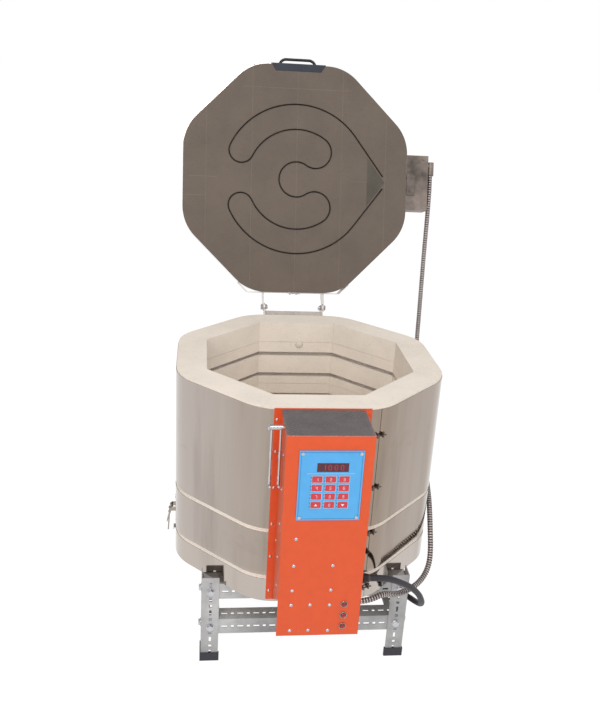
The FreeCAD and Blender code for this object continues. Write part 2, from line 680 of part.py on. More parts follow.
def hinge_strap():
    """Strap bent round the lid's rear edge, with the two arms that hang on the pivot bolts."""
    y0 = LID_REAR_Y
    half_flat = BODY_APOTHEM * HALF_SIDE
    z0 = LID_Z + 8
    strap = box(-half_flat, half_flat, y0, y0 + STRAP_T, z0, z0 + STRAP_H)
    for side in (-1, 1):
        d = STRAP_TURN
        c = cos(radians(45))
        p = [(side * half_flat, y0, z0), (side * (half_flat + d * c), y0 - d * c, z0),
             (side * (half_flat + (d + STRAP_T) * c), y0 - (d - STRAP_T) * c, z0),
             (side * (half_flat + STRAP_T * HALF_SIDE), y0 + STRAP_T, z0), (side * half_flat, y0 + STRAP_T, z0)]
        strap = strap.fuse(prism(p, (0, 0, STRAP_H)))
    for side in (-1, 1):
        x = side * (EAR_X + EAR_T + SEAT_GAP)
        x0, x1 = sorted((x, x + side * ARM_T))
        stop_y, stop_z = stop_in_closed_frame()
        edge_y = stop_y - STOP_R - SEAT_GAP
        arm = prism([(x0, y0 + STRAP_T, z0), (x0, y0 + STRAP_T, z0 + STRAP_H),
                     (x0, y0 + STRAP_T + 8, z0 + STRAP_H), (x0, edge_y, stop_z + STOP_R + 6), (x0, edge_y, HINGE_Z),
                     (x0, HINGE_Y, HINGE_Z - HINGE_BOSS_R), (x0, HINGE_Y - 10, HINGE_Z - HINGE_BOSS_R)],
                    (x1 - x0, 0, 0))
        arm = arm.fuse(cylinder(HINGE_BOSS_R - 0.5, (x0, HINGE_Y, HINGE_Z), (x1, HINGE_Y, HINGE_Z)))
        arm = arm.cut(cylinder(STOP_R + SEAT_GAP, (x0 - 1, stop_y, stop_z), (x1 + 1, stop_y, stop_z)))
        arm = arm.cut(cylinder(PIVOT_R + PIVOT_CLEARANCE, (x0 - 1, HINGE_Y, HINGE_Z), (x1 + 1, HINGE_Y, HINGE_Z)))
        strap = strap.fuse(arm)
    return strap.removeSplitter()


def stop_in_closed_frame():
    """Where the stop bolt lies in the lid's own frame when the lid stands open."""
    a = radians(LID_OPEN_DEG)
    dy, dz = STOP_BACK, -STOP_DROP
    return HINGE_Y + dy * cos(a) - dz * sin(a), HINGE_Z + dy * sin(a) + dz * cos(a)


def lid_keeper():
    """Bent plate on the lid's front edge that the two hooks pull down on."""
    y = -BODY_APOTHEM
    top = RIM_Z + KEEPER_RISE
    plate = box(KEEPER_X0, KEEPER_X1, y - 2, y, LID_Z + 18, top - 2)
    lip = box(KEEPER_X0, KEEPER_X1, y - KEEPER_REACH, y, top - 2, top)
    keeper = plate.fuse(lip)
    for z in (LID_Z + 28, LID_Z + 46):
        keeper = keeper.fuse(hex_prism(4.0, ((KEEPER_X0 + KEEPER_X1) / 2, y - 2, z),
                                       ((KEEPER_X0 + KEEPER_X1) / 2, y - 4.5, z)))
    return keeper.removeSplitter()


def junction_box():
    """Sheet-metal box with its cover, and the conduit elbow on its outer wall."""
    x0 = BODY_APOTHEM + SEAT_GAP
    x1 = x0 + JBOX_W
    z0 = LID_Z + JBOX_RISE
    z1 = z0 + JBOX_H
    t = JBOX_T
    shell = box(x0, x1, JBOX_Y0, JBOX_Y1, z0 + t, z1)
    shell = shell.cut(box(x0 + t, x1 - t, JBOX_Y0 + t, JBOX_Y1 - t, z0 - 1, z1 - t))
    for rod in lead_rods(7.0, x0 + t + 5, LID_Z + 0.4, LID_Z + 7.4):
        shell = shell.cut(rod)
    cover = box(x0, x1, JBOX_Y0, JBOX_Y1, z0, z0 + t)
    cover = cover.cut(box(x0 - 1, x0 + 20, -26, 26, z0 - 1, z0 + t + 1))
    for y in (JBOX_Y0 + 9, JBOX_Y1 - 9):
        cover = cover.fuse(cylinder(3.5, (x1 - 12, y, z0), (x1 - 12, y, z0 - 2)))
    z = z0 + JBOX_H / 2
    x = x1 + ELBOW_REACH
    neck = cylinder(ELBOW_R - 1, (x1, ELBOW_Y, z), (x, ELBOW_Y, z))
    body = cylinder(ELBOW_R, (x, ELBOW_Y - ELBOW_R, z), (x, ELBOW_Y + ELBOW_LEN, z))
    elbow = neck.fuse(body)
    socket = cylinder(CONDUIT_D / 2 + 0.2, (x, ELBOW_Y + 8, z), (x, ELBOW_Y + ELBOW_LEN + 1, z))
    nut = cylinder(ELBOW_R + 2, (x1, ELBOW_Y, z), (x1 + 3, ELBOW_Y, z))
    elbow = elbow.fuse(nut).cut(socket)
    return [shell, cover, elbow]


def elbow_socket():
    """Bottom of the lid elbow's socket and its direction, with the lid open."""
    x = BODY_APOTHEM + SEAT_GAP + JBOX_W + ELBOW_REACH
    z = LID_Z + JBOX_RISE + JBOX_H / 2
    a = radians(LID_OPEN_DEG)
    dy, dz = ELBOW_Y + 8 - HINGE_Y, z - HINGE_Z
    return (x, HINGE_Y + dy * cos(a) + dz * sin(a), HINGE_Z - dy * sin(a) + dz * cos(a))


def opened(shapes):
    out = []
    for shape in shapes:
        copy = shape.copy()
        copy.rotate(V(0, HINGE_Y, HINGE_Z), V(1, 0, 0), -LID_OPEN_DEG)
        out.append(copy)
    return out


def zr(drop):
    """Height above the floor of a place given by its drop below the rim."""
    return RIM_Z - drop


def back_plate():
    plate = box(-BACK_PLATE_HALF_W, BACK_PLATE_HALF_W, PLATE_FRONT_Y, PLATE_BACK_Y, zr(BACK_PLATE_H), zr(0.5))
    for z in row_heights():
        plate = plate.cut(cylinder(BUSH_D / 2 + SEAT_GAP, (TAIL_X, PLATE_FRONT_Y - 1, z),
                                   (TAIL_X, PLATE_BACK_Y + 1, z)))
    return plate.cut(cylinder(THERMO_R + SEAT_GAP, (THERMO_X, PLATE_FRONT_Y - 1, THERMO_Z),
                              (THERMO_X, PLATE_BACK_Y + 1, THERMO_Z)))


def side_panels():
    """Side webs with a rear flange on the back plate and a front flange behind the front panel."""
    top = zr(BOX_TOP_DROP)
    web = prism([(-BOX_HALF_W, PLATE_FRONT_Y, top), (-BOX_HALF_W, PANEL_BACK_Y, top),
                 (-BOX_HALF_W, PANEL_BACK_Y, zr(SIDE_FRONT_DROP)), (-BOX_HALF_W, PLATE_FRONT_Y, zr(SIDE_BACK_DROP))],
                (SHEET_T, 0, 0))
    rear = box(-BOX_HALF_W - FLANGE_W, -BOX_HALF_W, PLATE_FRONT_Y - SHEET_T, PLATE_FRONT_Y,
               zr(BACK_PLATE_H), top)
    front = box(-BOX_HALF_W, -BOX_HALF_W + FLANGE_W, PANEL_BACK_Y, PANEL_BACK_Y + SHEET_T,
                zr(SIDE_FRONT_DROP - 6), top)
    left = web.fuse(rear).fuse(front)
    right = mirrored_x(left)
    left = left.cut(cylinder(HOOK_BOLT_R, (-BOX_HALF_W - 1, HOOK_BOLT_Y, zr(HOOK_BOLT_DROP)),
                             (-BOX_HALF_W + SHEET_T + 1, HOOK_BOLT_Y, zr(HOOK_BOLT_DROP))))
    right = right.cut(cylinder(8.0, (BOX_HALF_W - SHEET_T - 1, GLAND_Y, zr(GLAND_DROP)),
                               (BOX_HALF_W + 1, GLAND_Y, zr(GLAND_DROP))))
    return [left.removeSplitter(), right.removeSplitter()]


def front_panel():
    panel = box(-BOX_HALF_W, BOX_HALF_W, BOX_FRONT_Y, PANEL_BACK_Y, zr(BOX_BOTTOM_DROP), zr(BOX_TOP_DROP))
    panel = panel.cut(box(FACE_X - 50, FACE_X + 50, BOX_FRONT_Y - 1, PANEL_BACK_Y + 1,
                          zr(FACE_DROP + 56), zr(FACE_DROP - 60)))
    for drop in LAMP_DROPS:
        panel = panel.cut(cylinder(LAMP_R, (LAMP_X, BOX_FRONT_Y - 1, zr(drop)),
                                   (LAMP_X, PANEL_BACK_Y + 1, zr(drop))))
    return panel


def top_grille():
    """Perforated top, let in behind the front panel and between the sides."""
    x = BOX_HALF_W - SHEET_T
    z1 = zr(BOX_TOP_DROP)
    grille = box(-x, x, PANEL_BACK_Y, PLATE_FRONT_Y, z1 - SHEET_T, z1)
    notch = box(-x, -x + FLANGE_W, PANEL_BACK_Y - 1, PANEL_BACK_Y + SHEET_T, z1 - SHEET_T - 1, z1 + 1)
    grille = grille.cut(notch).cut(mirrored_x(notch))
    slots = []
    for i in range(7):
        for j in range(6):
            cx, cy = -60 + 20 * i, PANEL_BACK_Y + 15 + 16 * j
            slots.append(box(cx - 7, cx + 7, cy - 3, cy + 3, z1 - SHEET_T - 1, z1 + 1))
    return grille.cut(Part.makeCompound(slots))


def slope_angle():
    return atan2(SIDE_BACK_DROP - SIDE_FRONT_DROP, PLATE_FRONT_Y - PANEL_BACK_Y)


def bottom_plate():
    """Sloping bottom between the side webs, with vent slots and the conduit's hole."""
    x = BOX_HALF_W - SHEET_T
    y0, y1 = PLATE_FRONT_Y, PANEL_BACK_Y + SHEET_T
    slope = tan(slope_angle())
    zb = zr(SIDE_BACK_DROP - BOTTOM_LAP)
    zf = zb + (y0 - y1) * slope
    t = SHEET_T / cos(slope_angle())
    plate = prism([(-x, y0, zb), (-x, y1, zf), (-x, y1, zf + t), (-x, y0, zb + t)], (2 * x, 0, 0))
    for k in range(VENT_COUNT):
        left = -VENT_W / 2 - k * VENT_PITCH
        plate = plate.cut(box(left, left + VENT_W, y1 + VENT_MARGIN, y0 - VENT_MARGIN, zb - 1, zf + t + 1))
    return plate.cut(cylinder(BOX_ELBOW_BORE_R, (BOX_ELBOW_X, BOX_ELBOW_Y, zb - 40),
                              (BOX_ELBOW_X, BOX_ELBOW_Y, zf + 40)))


def box_elbow_centre():
    slope = slope_angle()
    z = zr(SIDE_BACK_DROP - BOTTOM_LAP) + (PLATE_FRONT_Y - BOX_ELBOW_Y) * tan(slope)
    return BOX_ELBOW_Y, z - BOX_ELBOW_NECK - 4


def cable_fittings():
    """Elbow for the conduit under the sloping bottom, and the tapered gland for the power cord."""
    y, z = box_elbow_centre()
    x = BOX_ELBOW_X
    body = cylinder(ELBOW_R, (x - ELBOW_R, y, z), (x + ELBOW_LEN - 2, y, z))
    neck = cylinder(BOX_ELBOW_BORE_R, (x, y, z), (x, y, z + 36))
    flange = cylinder(10.5, (x, y, z + 31), (x, y, z + 34))
    elbow = body.fuse(neck).fuse(flange)
    elbow = elbow.cut(cylinder(CONDUIT_D / 2 + 0.2, (x + 6, y, z), (x + ELBOW_LEN, y, z)))
    gy, gz = GLAND_Y, zr(GLAND_DROP)
    gx = BOX_HALF_W
    gland = cylinder(8.0, (gx - SHEET_T - 6, gy, gz), (gx + 4, gy, gz))
    gland = gland.fuse(hex_prism(13.0, (gx, gy, gz), (gx + 8, gy, gz)))
    gland = gland.fuse(Part.makeCone(11.0, CORD_D / 2 + 1, GLAND_LEN - 8, V(gx + 8, gy, gz), V(1, 0, 0)))
    gland = gland.fuse(hex_prism(12.0, (gx - SHEET_T - 5, gy, gz), (gx - SHEET_T, gy, gz)))
    return [elbow.removeSplitter(), gland.removeSplitter()]


def rivet(p, direction, r=RIVET_R):
    """Low domed head seated at p."""
    head_h = r * 0.55
    ball_r = (r * r + head_h * head_h) / (2 * head_h)
    d = V(*direction)
    ball = Part.makeSphere(ball_r, V(*p) - d * (ball_r - head_h))
    keep = Part.makeCylinder(r + 1, head_h + 1, V(*p), d)
    return ball.common(keep)


def fasteners():
    out = [rivet((x, BOX_FRONT_Y, zr(drop)), (0, -1, 0)) for x, drop in PANEL_RIVETS]
    y = PLATE_FRONT_Y - SHEET_T
    for side in (-1, 1):
        for drop in FLANGE_RIVET_DROPS:
            out.append(rivet((side * (BOX_HALF_W + FLANGE_W - 4.5), y, zr(drop)), (0, -1, 0), 3.0))
        for wy, drop in WEB_RIVETS:
            out.append(rivet((side * BOX_HALF_W, wy, zr(drop)), (side, 0, 0), 3.0))
    for sx in (-1, 1):
        for sz in (-1, 1):
            x, z = FACE_X + sx * FACE_SCREW_X, zr(FACE_DROP) + sz * FACE_SCREW_Z
            out.append(cylinder(3.2, (x, BOX_FRONT_Y - FACE_T, z), (x, BOX_FRONT_Y - FACE_T - 1.6, z)))
    return out


def key_places():
    return [(x, drop) for drop in KEY_ROWS for x in KEY_COLS]


def faceplate():
    z = zr(FACE_DROP)
    plate = box(FACE_X - FACE_W / 2, FACE_X + FACE_W / 2, BOX_FRONT_Y - FACE_T, BOX_FRONT_Y,
                z - FACE_H / 2, z + FACE_H / 2)
    half_w, half_h = KEY_W / 2 + KEY_GAP, KEY_H / 2 + KEY_GAP
    cuts = [box(x - half_w, x + half_w, BOX_FRONT_Y - FACE_T - 1, BOX_FRONT_Y + 1,
                zr(drop) - half_h, zr(drop) + half_h) for x, drop in key_places()]
    dx = FACE_X + DISPLAY_DX
    cuts.append(box(dx - DISPLAY_W / 2, dx + DISPLAY_W / 2, BOX_FRONT_Y - FACE_T - 1, BOX_FRONT_Y + 1,
                    zr(DISPLAY_DROP) - DISPLAY_H / 2, zr(DISPLAY_DROP) + DISPLAY_H / 2))
    return plate.cut(Part.makeCompound(cuts))


def display_window():
    dx = FACE_X + DISPLAY_DX
    return box(dx - DISPLAY_W / 2, dx + DISPLAY_W / 2, BOX_FRONT_Y - FACE_T - 0.3, BOX_FRONT_Y - 0.2,
               zr(DISPLAY_DROP) - DISPLAY_H / 2, zr(DISPLAY_DROP) + DISPLAY_H / 2)


def key(x, drop):
    """Key cap in its window, with the stem that works the switch on the board."""
    z = zr(drop)
    cap = box(x - KEY_W / 2, x + KEY_W / 2, BOX_FRONT_Y - FACE_T - KEY_PROUD, BOX_FRONT_Y,
              z - KEY_H / 2, z + KEY_H / 2)
    stem = box(x - 2, x + 2, BOX_FRONT_Y, SWITCH_FRONT_Y - KEY_TRAVEL - 0.2, z - 2, z + 2)
    return cap.fuse(stem).removeSplitter()


def controller_board():
    z = zr(FACE_DROP)
    board = box(FACE_X - 48, FACE_X + 48, BOARD_Y, BOARD_Y + BOARD_T, z - 54, z + 58)
    for x, drop in key_places():
        board = board.fuse(box(x - 3, x + 3, SWITCH_FRONT_Y, BOARD_Y, zr(drop) - 3, zr(drop) + 3))
    dx = FACE_X + DISPLAY_DX
    board = board.fuse(box(dx - 25, dx + 25, BOARD_Y - 8, BOARD_Y, zr(DISPLAY_DROP) - 9, zr(DISPLAY_DROP) + 9))
    plate_x = FACE_SCREW_X + 3.5
    for sz in (-1, 1):
        screw_z = z + sz * FACE_SCREW_Z
        for sx in (-1, 1):
            x = FACE_X + sx * FACE_SCREW_X
            board = board.fuse(cylinder(2.5, (x, PANEL_BACK_Y, screw_z), (x, BOARD_Y + BOARD_T, screw_z)))
        board = board.fuse(box(FACE_X - plate_x, FACE_X + plate_x, BOARD_Y, BOARD_Y + BOARD_T,
                               screw_z - 4, screw_z + 4))
    board = board.fuse(box(FACE_X - 48, FACE_X + 48, BOARD_Y, BOARD_Y + BOARD_T, z - FACE_SCREW_Z, z + FACE_SCREW_Z))
    board = board.fuse(box(-30, 6, BOARD_Y + BOARD_T, BOARD_Y + BOARD_T + 10, zr(140), zr(115)))
    return board.removeSplitter()


def relays():
    out = []
    for x in (-36.4, 1.0):
        out.append(box(x - 16, x + 16, PANEL_BACK_Y, PANEL_BACK_Y + 21, zr(419), zr(374)))
        tab = box(x - 18, x + 18, PANEL_BACK_Y, PANEL_BACK_Y + 2, zr(431), zr(360))
        out[-1] = out[-1].fuse(tab).removeSplitter()
    return out


def transformer():
    frame = box(-62, 28, PANEL_BACK_Y, PANEL_BACK_Y + 2, zr(338), zr(270))
    core = box(-46, 12, PANEL_BACK_Y + 2, PANEL_BACK_Y + 34, zr(328), zr(280))
    winding = box(-38, 4, PANEL_BACK_Y + 34, PANEL_BACK_Y + 42, zr(322), zr(286))
    return frame.fuse(core).fuse(winding).removeSplitter()


def pilot_lamps():
    out = []
    for drop in LAMP_DROPS:
        z = zr(drop)
        bezel = cylinder(BEZEL_R, (LAMP_X, BOX_FRONT_Y, z), (LAMP_X, BOX_FRONT_Y - 2.0, z))
        bezel = bezel.cut(cylinder(LAMP_R, (LAMP_X, BOX_FRONT_Y + 1, z), (LAMP_X, BOX_FRONT_Y - 3, z)))
        lens = cylinder(LAMP_R - 0.1, (LAMP_X, PANEL_BACK_Y + 14, z), (LAMP_X, BOX_FRONT_Y - 2.2, z))
        lens = lens.fuse(rivet((LAMP_X, BOX_FRONT_Y - 2.2, z), (0, -1, 0), LAMP_R - 0.1))
        out += [bezel, lens.removeSplitter()]
    return out


def hook_bolt():
    y, z = HOOK_BOLT_Y, zr(HOOK_BOLT_DROP)
    x_in = -BOX_HALF_W + SHEET_T
    outer = KEEPER_X0
    bolt = cylinder(HOOK_BOLT_R, (x_in + 5, y, z), (outer, y, z))
    nut = hex_prism(5.2, (x_in, y, z), (x_in + 4, y, z))
    head = hex_prism(6.0, (outer + 3.0, y, z), (outer, y, z))
    return bolt.fuse(nut).fuse(head).removeSplitter()


def lid_hooks():
    """Two rods with hooked ends, joined by the sleeve that turns on the bolt."""
    y, z = HOOK_BOLT_Y, zr(HOOK_BOLT_DROP)
    x_in, x_out = HOOK_INNER_X, HOOK_INNER_X - HOOK_SPREAD
    sleeve = cylinder(HOOK_BOLT_R + 2.0, (x_in + HOOK_ROD_R, y, z), (x_out - HOOK_ROD_R, y, z))
    shape = sleeve
    tip_z = z - HOOK_LEN - HOOK_ROD_R
    for x in (x_in, x_out):
        shape = shape.fuse(cylinder(HOOK_ROD_R, (x, y, z), (x, y, tip_z + HOOK_ROD_R)))
        shape = shape.fuse(cylinder(HOOK_ROD_R + 0.6, (x, y, z - HOOK_LEN * 0.42), (x, y, z - HOOK_LEN * 0.55)))
        shape = shape.fuse(cylinder(HOOK_ROD_R + 0.6, (x, y, z - HOOK_LEN * 0.86), (x, y, tip_z)))
        shape = shape.fuse(cylinder(HOOK_ROD_R, (x, y, tip_z), (x, y - HOOK_TIP, tip_z)))
        shape = shape.fuse(Part.makeSphere(HOOK_ROD_R, V(x, y, tip_z)))
    bore = cylinder(HOOK_BOLT_R + PIVOT_CLEARANCE, (x_in + 9, y, z), (x_out - 9, y, z))
    return shape.cut(bore).removeSplitter()


def to_right(shape):
    """The right-hand latch is the left one's mirror image, set further back to clear the conduit."""
    copy = mirrored_x(shape)
    copy.translate(V(0, RIGHT_LATCH_BACK, 0))
    return copy


def latch_x(out):
    return -BODY_APOTHEM - out


def latch_base():
    """Base plate with two ears and a pin on the ring jacket, and the keeper on the floor jacket."""
    t = 1.5
    z1, z0 = zr(LATCH_BASE_TOP), zr(LATCH_BASE_TOP + LATCH_BASE_H)
    half = LATCH_PLATE_W / 2
    plate = box(latch_x(t), latch_x(0), LATCH_Y - half, LATCH_Y + half, z0, z1)
    pin_z = zr(LATCH_PIN_DROP)
    for side in (-1, 1):
        y0, y1 = sorted((LATCH_Y + side * half, LATCH_Y + side * (half - t)))
        ear = box(latch_x(LATCH_PIN_OUT), latch_x(0), y0, y1, pin_z - 4, pin_z + 6)
        ear = ear.fuse(cylinder(4.0, (latch_x(LATCH_PIN_OUT), y0, pin_z), (latch_x(LATCH_PIN_OUT), y1, pin_z)))
        plate = plate.fuse(ear)
    plate = plate.fuse(cylinder(1.6, (latch_x(LATCH_PIN_OUT), LATCH_Y - half, pin_z),
                                (latch_x(LATCH_PIN_OUT), LATCH_Y + half, pin_z)))
    for dy in (-6, 6):
        plate = plate.fuse(rivet((latch_x(t), LATCH_Y + dy, z1 - 6), (-1, 0, 0), 2.6))
    kz = zr(LATCH_KEEPER_DROP)
    keeper = box(latch_x(t), latch_x(0), LATCH_Y - 8, LATCH_Y + 8, kz - 22, kz)
    keeper = keeper.fuse(box(latch_x(6.0), latch_x(0), LATCH_Y - 8, LATCH_Y + 8, kz - 22, kz - 20.5))
    keeper = keeper.fuse(box(latch_x(6.0), latch_x(4.5), LATCH_Y - 8, LATCH_Y + 8, kz - 26, kz - 20.5))
    return [plate.removeSplitter(), keeper.removeSplitter()]


def latch_lever():
    """Chrome lever that hangs on the base's pin and carries the bail's pin."""
    x, z = latch_x(LATCH_PIN_OUT), zr(LATCH_PIN_DROP)
    half = LEVER_W / 2
    eye = cylinder(3.6, (x, LATCH_Y - half, z), (x, LATCH_Y + half, z))
    tip = LATCH_PIN_OUT + 9.0
    blade = prism([(latch_x(LATCH_PIN_OUT - 2), LATCH_Y - half, z), (latch_x(LATCH_PIN_OUT + 3), LATCH_Y - half, z),
                   (latch_x(tip + 2), LATCH_Y - half, z - LEVER_LEN), (latch_x(tip), LATCH_Y - half, z - LEVER_LEN)],
                  (0, LEVER_W, 0))
    lever = eye.fuse(blade)
    bx, bz = latch_x(BAIL_PIN_OUT), zr(BAIL_PIN_DROP)
    pin_half = LATCH_PLATE_W / 2 - 2.0
    lever = lever.fuse(cylinder(1.6, (bx, LATCH_Y - pin_half, bz), (bx, LATCH_Y + pin_half, bz)))
    bore = cylinder(1.6 + PIVOT_CLEARANCE, (x, LATCH_Y - half - 1, z), (x, LATCH_Y + half + 1, z))
    return lever.cut(bore).removeSplitter()


def latch_bail():
    """Wire loop on the lever's pin, longer than the lever."""
    bx, bz = latch_x(BAIL_PIN_OUT), zr(BAIL_PIN_DROP)
    r = BAIL_WIRE_R
    y = LEVER_W / 2 + r + 0.6
    end = bz - BAIL_LEN + 8
    lean = 3.0
    shape = prism([(bx - r, LATCH_Y - y - r, bz), (bx + r, LATCH_Y - y - r, bz),
                   (bx + r - lean, LATCH_Y - y - r, end), (bx - r - lean, LATCH_Y - y - r, end)], (0, 2 * (y + r), 0))
    shape = shape.cut(box(bx - 20, bx + 20, LATCH_Y - y + r, LATCH_Y + y - r, end + 2 * r, bz + 10))
    for side in (-1, 1):
        shape = shape.fuse(cylinder(3.2, (bx, LATCH_Y + side * (y - r), bz), (bx, LATCH_Y + side * (y + r), bz)))
    bore = cylinder(1.6 + PIVOT_CLEARANCE, (bx, LATCH_Y - y - r - 1, bz), (bx, LATCH_Y + y + r + 1, bz))
    return shape.cut(bore).removeSplitter()


def angle_bar(length, punch_a=True, punch_b=True):
    """Slotted angle along +Z with its outer corner on the Z axis and its flanges along +X and +Y."""
    w, t = ANGLE_W, ANGLE_T
    bar = prism([(0, 0, 0), (w, 0, 0), (w, t, 0), (t, t, 0), (t, w, 0), (0, w, 0)], (0, 0, length))
    count = int((length - SLOT_L) / SLOT_PITCH) + 1
    start = (length - (count - 1) * SLOT_PITCH) / 2
    cuts = []
    for k in range(count):
        places = [(start + k * SLOT_PITCH, SLOT_L / 2, SLOT_W / 2)]
        if k < count - 1:
            places.append((start + (k + 0.5) * SLOT_PITCH, PUNCH_W / 2, PUNCH_W / 2))
        for z, half_l, half_w in places:
            if punch_a:
                cuts.append(box(SLOT_LINE - half_w, SLOT_LINE + half_w, -1, t + 1, z - half_l, z + half_l))
            if punch_b:
                cuts.append(box(-1, t + 1, SLOT_LINE - half_w, SLOT_LINE + half_w, z - half_l, z + half_l))
    return bar.cut(Part.makeCompound(cuts)) if cuts else bar


def stand_legs():
    leg = angle_bar(LEG_TOP - CAP_FLOOR_T)
    leg.translate(V(-LEG_HALF, -LEG_HALF, CAP_FLOOR_T))
    return [turned(leg, 90 * k) for k in range(4)]


def cross_bars(top, inside):
    """Four bars between the legs, horizontal flange on top and turned inwards."""
    out = []
    for k in range(4):
        reach = LEG_HALF - ANGLE_T - SEAT_GAP
        if k % 2:
            reach -= ANGLE_T
        bar = angle_bar(2 * reach, True, inside)
        # The bar runs along +X, one flange down and the other inwards at the top.
        bar.rotate(V(0, 0, 0), V(0, 1, 0), 90)
        bar.translate(V(-reach, 0, 0))
        if k % 2:
            coped = LEG_HALF - ANGLE_T - ANGLE_W - SEAT_GAP
            for x0, x1 in ((-reach - 1, -coped), (coped, reach + 1)):
                bar = bar.cut(box(x0, x1, ANGLE_T, ANGLE_W + 1, -ANGLE_T - 1, 1))
        bar.translate(V(0, -LEG_HALF + ANGLE_T, top))
        out.append(turned(bar, 90 * k))
    return out


def foot_caps():
    w = ANGLE_W + CAP_WALL
    o = -LEG_HALF - CAP_WALL
    depth = ANGLE_T + 2 * CAP_WALL
    outline = [(o, o, 0), (o + w + CAP_WALL, o, 0), (o + w + CAP_WALL, o + depth, 0), (o + depth, o + depth, 0),
               (o + depth, o + w + CAP_WALL, 0), (o, o + w + CAP_WALL, 0)]
    cap = prism(outline, (0, 0, CAP_H))
    a, t = -LEG_HALF, ANGLE_T
    slot = prism([(a, a, CAP_FLOOR_T), (a + ANGLE_W, a, CAP_FLOOR_T), (a + ANGLE_W, a + t, CAP_FLOOR_T),
                  (a + t, a + t, CAP_FLOOR_T), (a + t, a + ANGLE_W, CAP_FLOOR_T), (a, a + ANGLE_W, CAP_FLOOR_T)], (0, 0, CAP_H))
    cap = cap.cut(slot)
    return [turned(cap, 90 * k) for k in range(4)]


def stand_bolts():
    out = []
    y = -LEG_HALF
    x = LEG_HALF - SLOT_LINE
    inner = y + 2 * ANGLE_T
    for z in (BODY_BOTTOM - SLOT_LINE, BRACE_TOP - SLOT_LINE):
        for side in (-1, 1):
            head = hex_prism(HEX_R, (side * x, y, z), (side * x, y - HEX_T, z))
            washer = cylinder(9.0, (side * x, y, z), (side * x, y - 1.2, z))
            shank = box(side * x - 2.4, side * x + 2.4, y - 1, inner + 9, z - 2.4, z + 2.4)
            nut = hex_prism(HEX_R, (side * x, inner, z), (side * x, inner + 6, z))
            bolt = head.fuse(washer).fuse(shank).fuse(nut).removeSplitter()
            out += [turned(bolt, 90 * k) for k in range(4)]
    return out


def lead(points, diameter, name):
    """Tube of straight runs joined by the largest tangent arcs that fit; prints its radii."""
    pts = [V(*p) for p in points]
    edges = []
    start = pts[0]
    radii = []
    for a, b, c in zip(pts, pts[1:], pts[2:]):
        u, w = (b - a), (c - b)
        cut = 0.45 * min(u.Length, w.Length)
        turn = u.getAngle(w)
        radius = cut / tan(turn / 2)
        radii.append(round(radius))
        p, q = b - u.normalize() * cut, b + w.normalize() * cut
        to_centre = ((p - b).normalize() + (q - b).normalize()).normalize()
        centre = b + to_centre * (radius / cos(turn / 2))
        mid = centre - to_centre * radius
        edges.append(Part.LineSegment(start, p).toShape())
        edges.append(Part.Arc(p, mid, q).toShape())
        start = q
    edges.append(Part.LineSegment(start, pts[-1]).toShape())
    path = Part.Wire(edges)
    profile = Part.Wire(Part.makeCircle(diameter / 2, pts[0], pts[1] - pts[0]))
    tube = path.makePipeShell([profile], True, False)
    expected = path.Length * pi * diameter ** 2 / 4
    print(name, "length", round(path.Length), "volume ratio", round(tube.Volume / expected, 4), "radii", radii)
    return tube


def conduit_points():
    sx, sy, sz = elbow_socket()
    ey, ez = box_elbow_centre()
    drops = [(sx, sy + 30 / tan(radians(LID_OPEN_DEG)), sz - 30), (sx, 436, zr(-288)),
             (sx + 0.45, 431, zr(-222)), (sx - 0.05, 424, zr(-146)), (sx - 0.55, 414, zr(-66)),
             (sx - 1.05, 402, zr(16)), (sx - 4.05, 384, zr(92)), (sx - 10.05, 350, zr(156)), (337, 296, zr(204)),
             (328, 226, zr(234)), (319, 150, zr(258)), (311, 74, zr(281)), (306, 4, zr(306)), (301, -54, zr(331)),
             (295, -98, zr(355)), (290, -132, zr(378)), (287, -158, zr(403)), (280, -184, zr(423)),
             (264, -211, zr(436)), (241, -237, zr(441)), (213, -262, zr(438)), (181, -286, zr(431)),
             (150, -308, ez + 3), (120, ey + 6, ez), (92, ey, ez)]
    return [(sx, sy, sz)] + drops + [(BOX_ELBOW_X + 6, ey, ez)]


def cord_points():
    x = BOX_HALF_W + GLAND_LEN + SEAT_GAP
    floor = CORD_D / 2
    return [(x, GLAND_Y, zr(GLAND_DROP)), (136, GLAND_Y, zr(GLAND_DROP)), (161, -321, zr(367)), (186, -310, zr(384)),
            (211, -297, zr(405)), (232, -284, zr(431)), (246, -268, zr(461)), (254, -244, zr(488)),
            (252, -214, zr(506)), (240, -182, zr(513)), (217, -156, zr(513)), (192, -137, zr(515)),
            (172, -118, zr(527)), (157, -95, zr(550)), (147, -68, zr(580)), (139, -33, zr(610)),
            (132, 10, zr(628)), (122, 60, floor + 1.0), (108, 112, floor), (96, 166, floor), (88, 222, floor),
            (82, 276, floor), (CORD_COIL_X + CORD_COIL_MEAN_R + 1, 326, floor)]


def cord_coil():
    """Outer shape of two turns of cord lying on each other."""
    half_w, half_h = CORD_D / 2 + 0.5, CORD_D
    r0, r1 = CORD_COIL_MEAN_R - half_w, CORD_COIL_MEAN_R + half_w
    outer = Part.makeCylinder(r1, 2 * half_h, V(CORD_COIL_X, CORD_COIL_Y, 0))
    ring = outer.cut(Part.makeCylinder(r0, 2 * half_h + 2, V(CORD_COIL_X, CORD_COIL_Y, -1)))
    y = CORD_COIL_Y + CORD_COIL_MEAN_R
    tail = cylinder(CORD_D / 2, (CORD_COIL_X, y, PLUG_Z), (PLUG_X + 4, y, PLUG_Z))
    return ring.fuse(tail).removeSplitter()


def coil_space():
    r = CORD_COIL_MEAN_R + CORD_D / 2 + 0.5 + SEAT_GAP
    return Part.makeCylinder(r, 3 * CORD_D, V(CORD_COIL_X, CORD_COIL_Y, -CORD_D / 2))


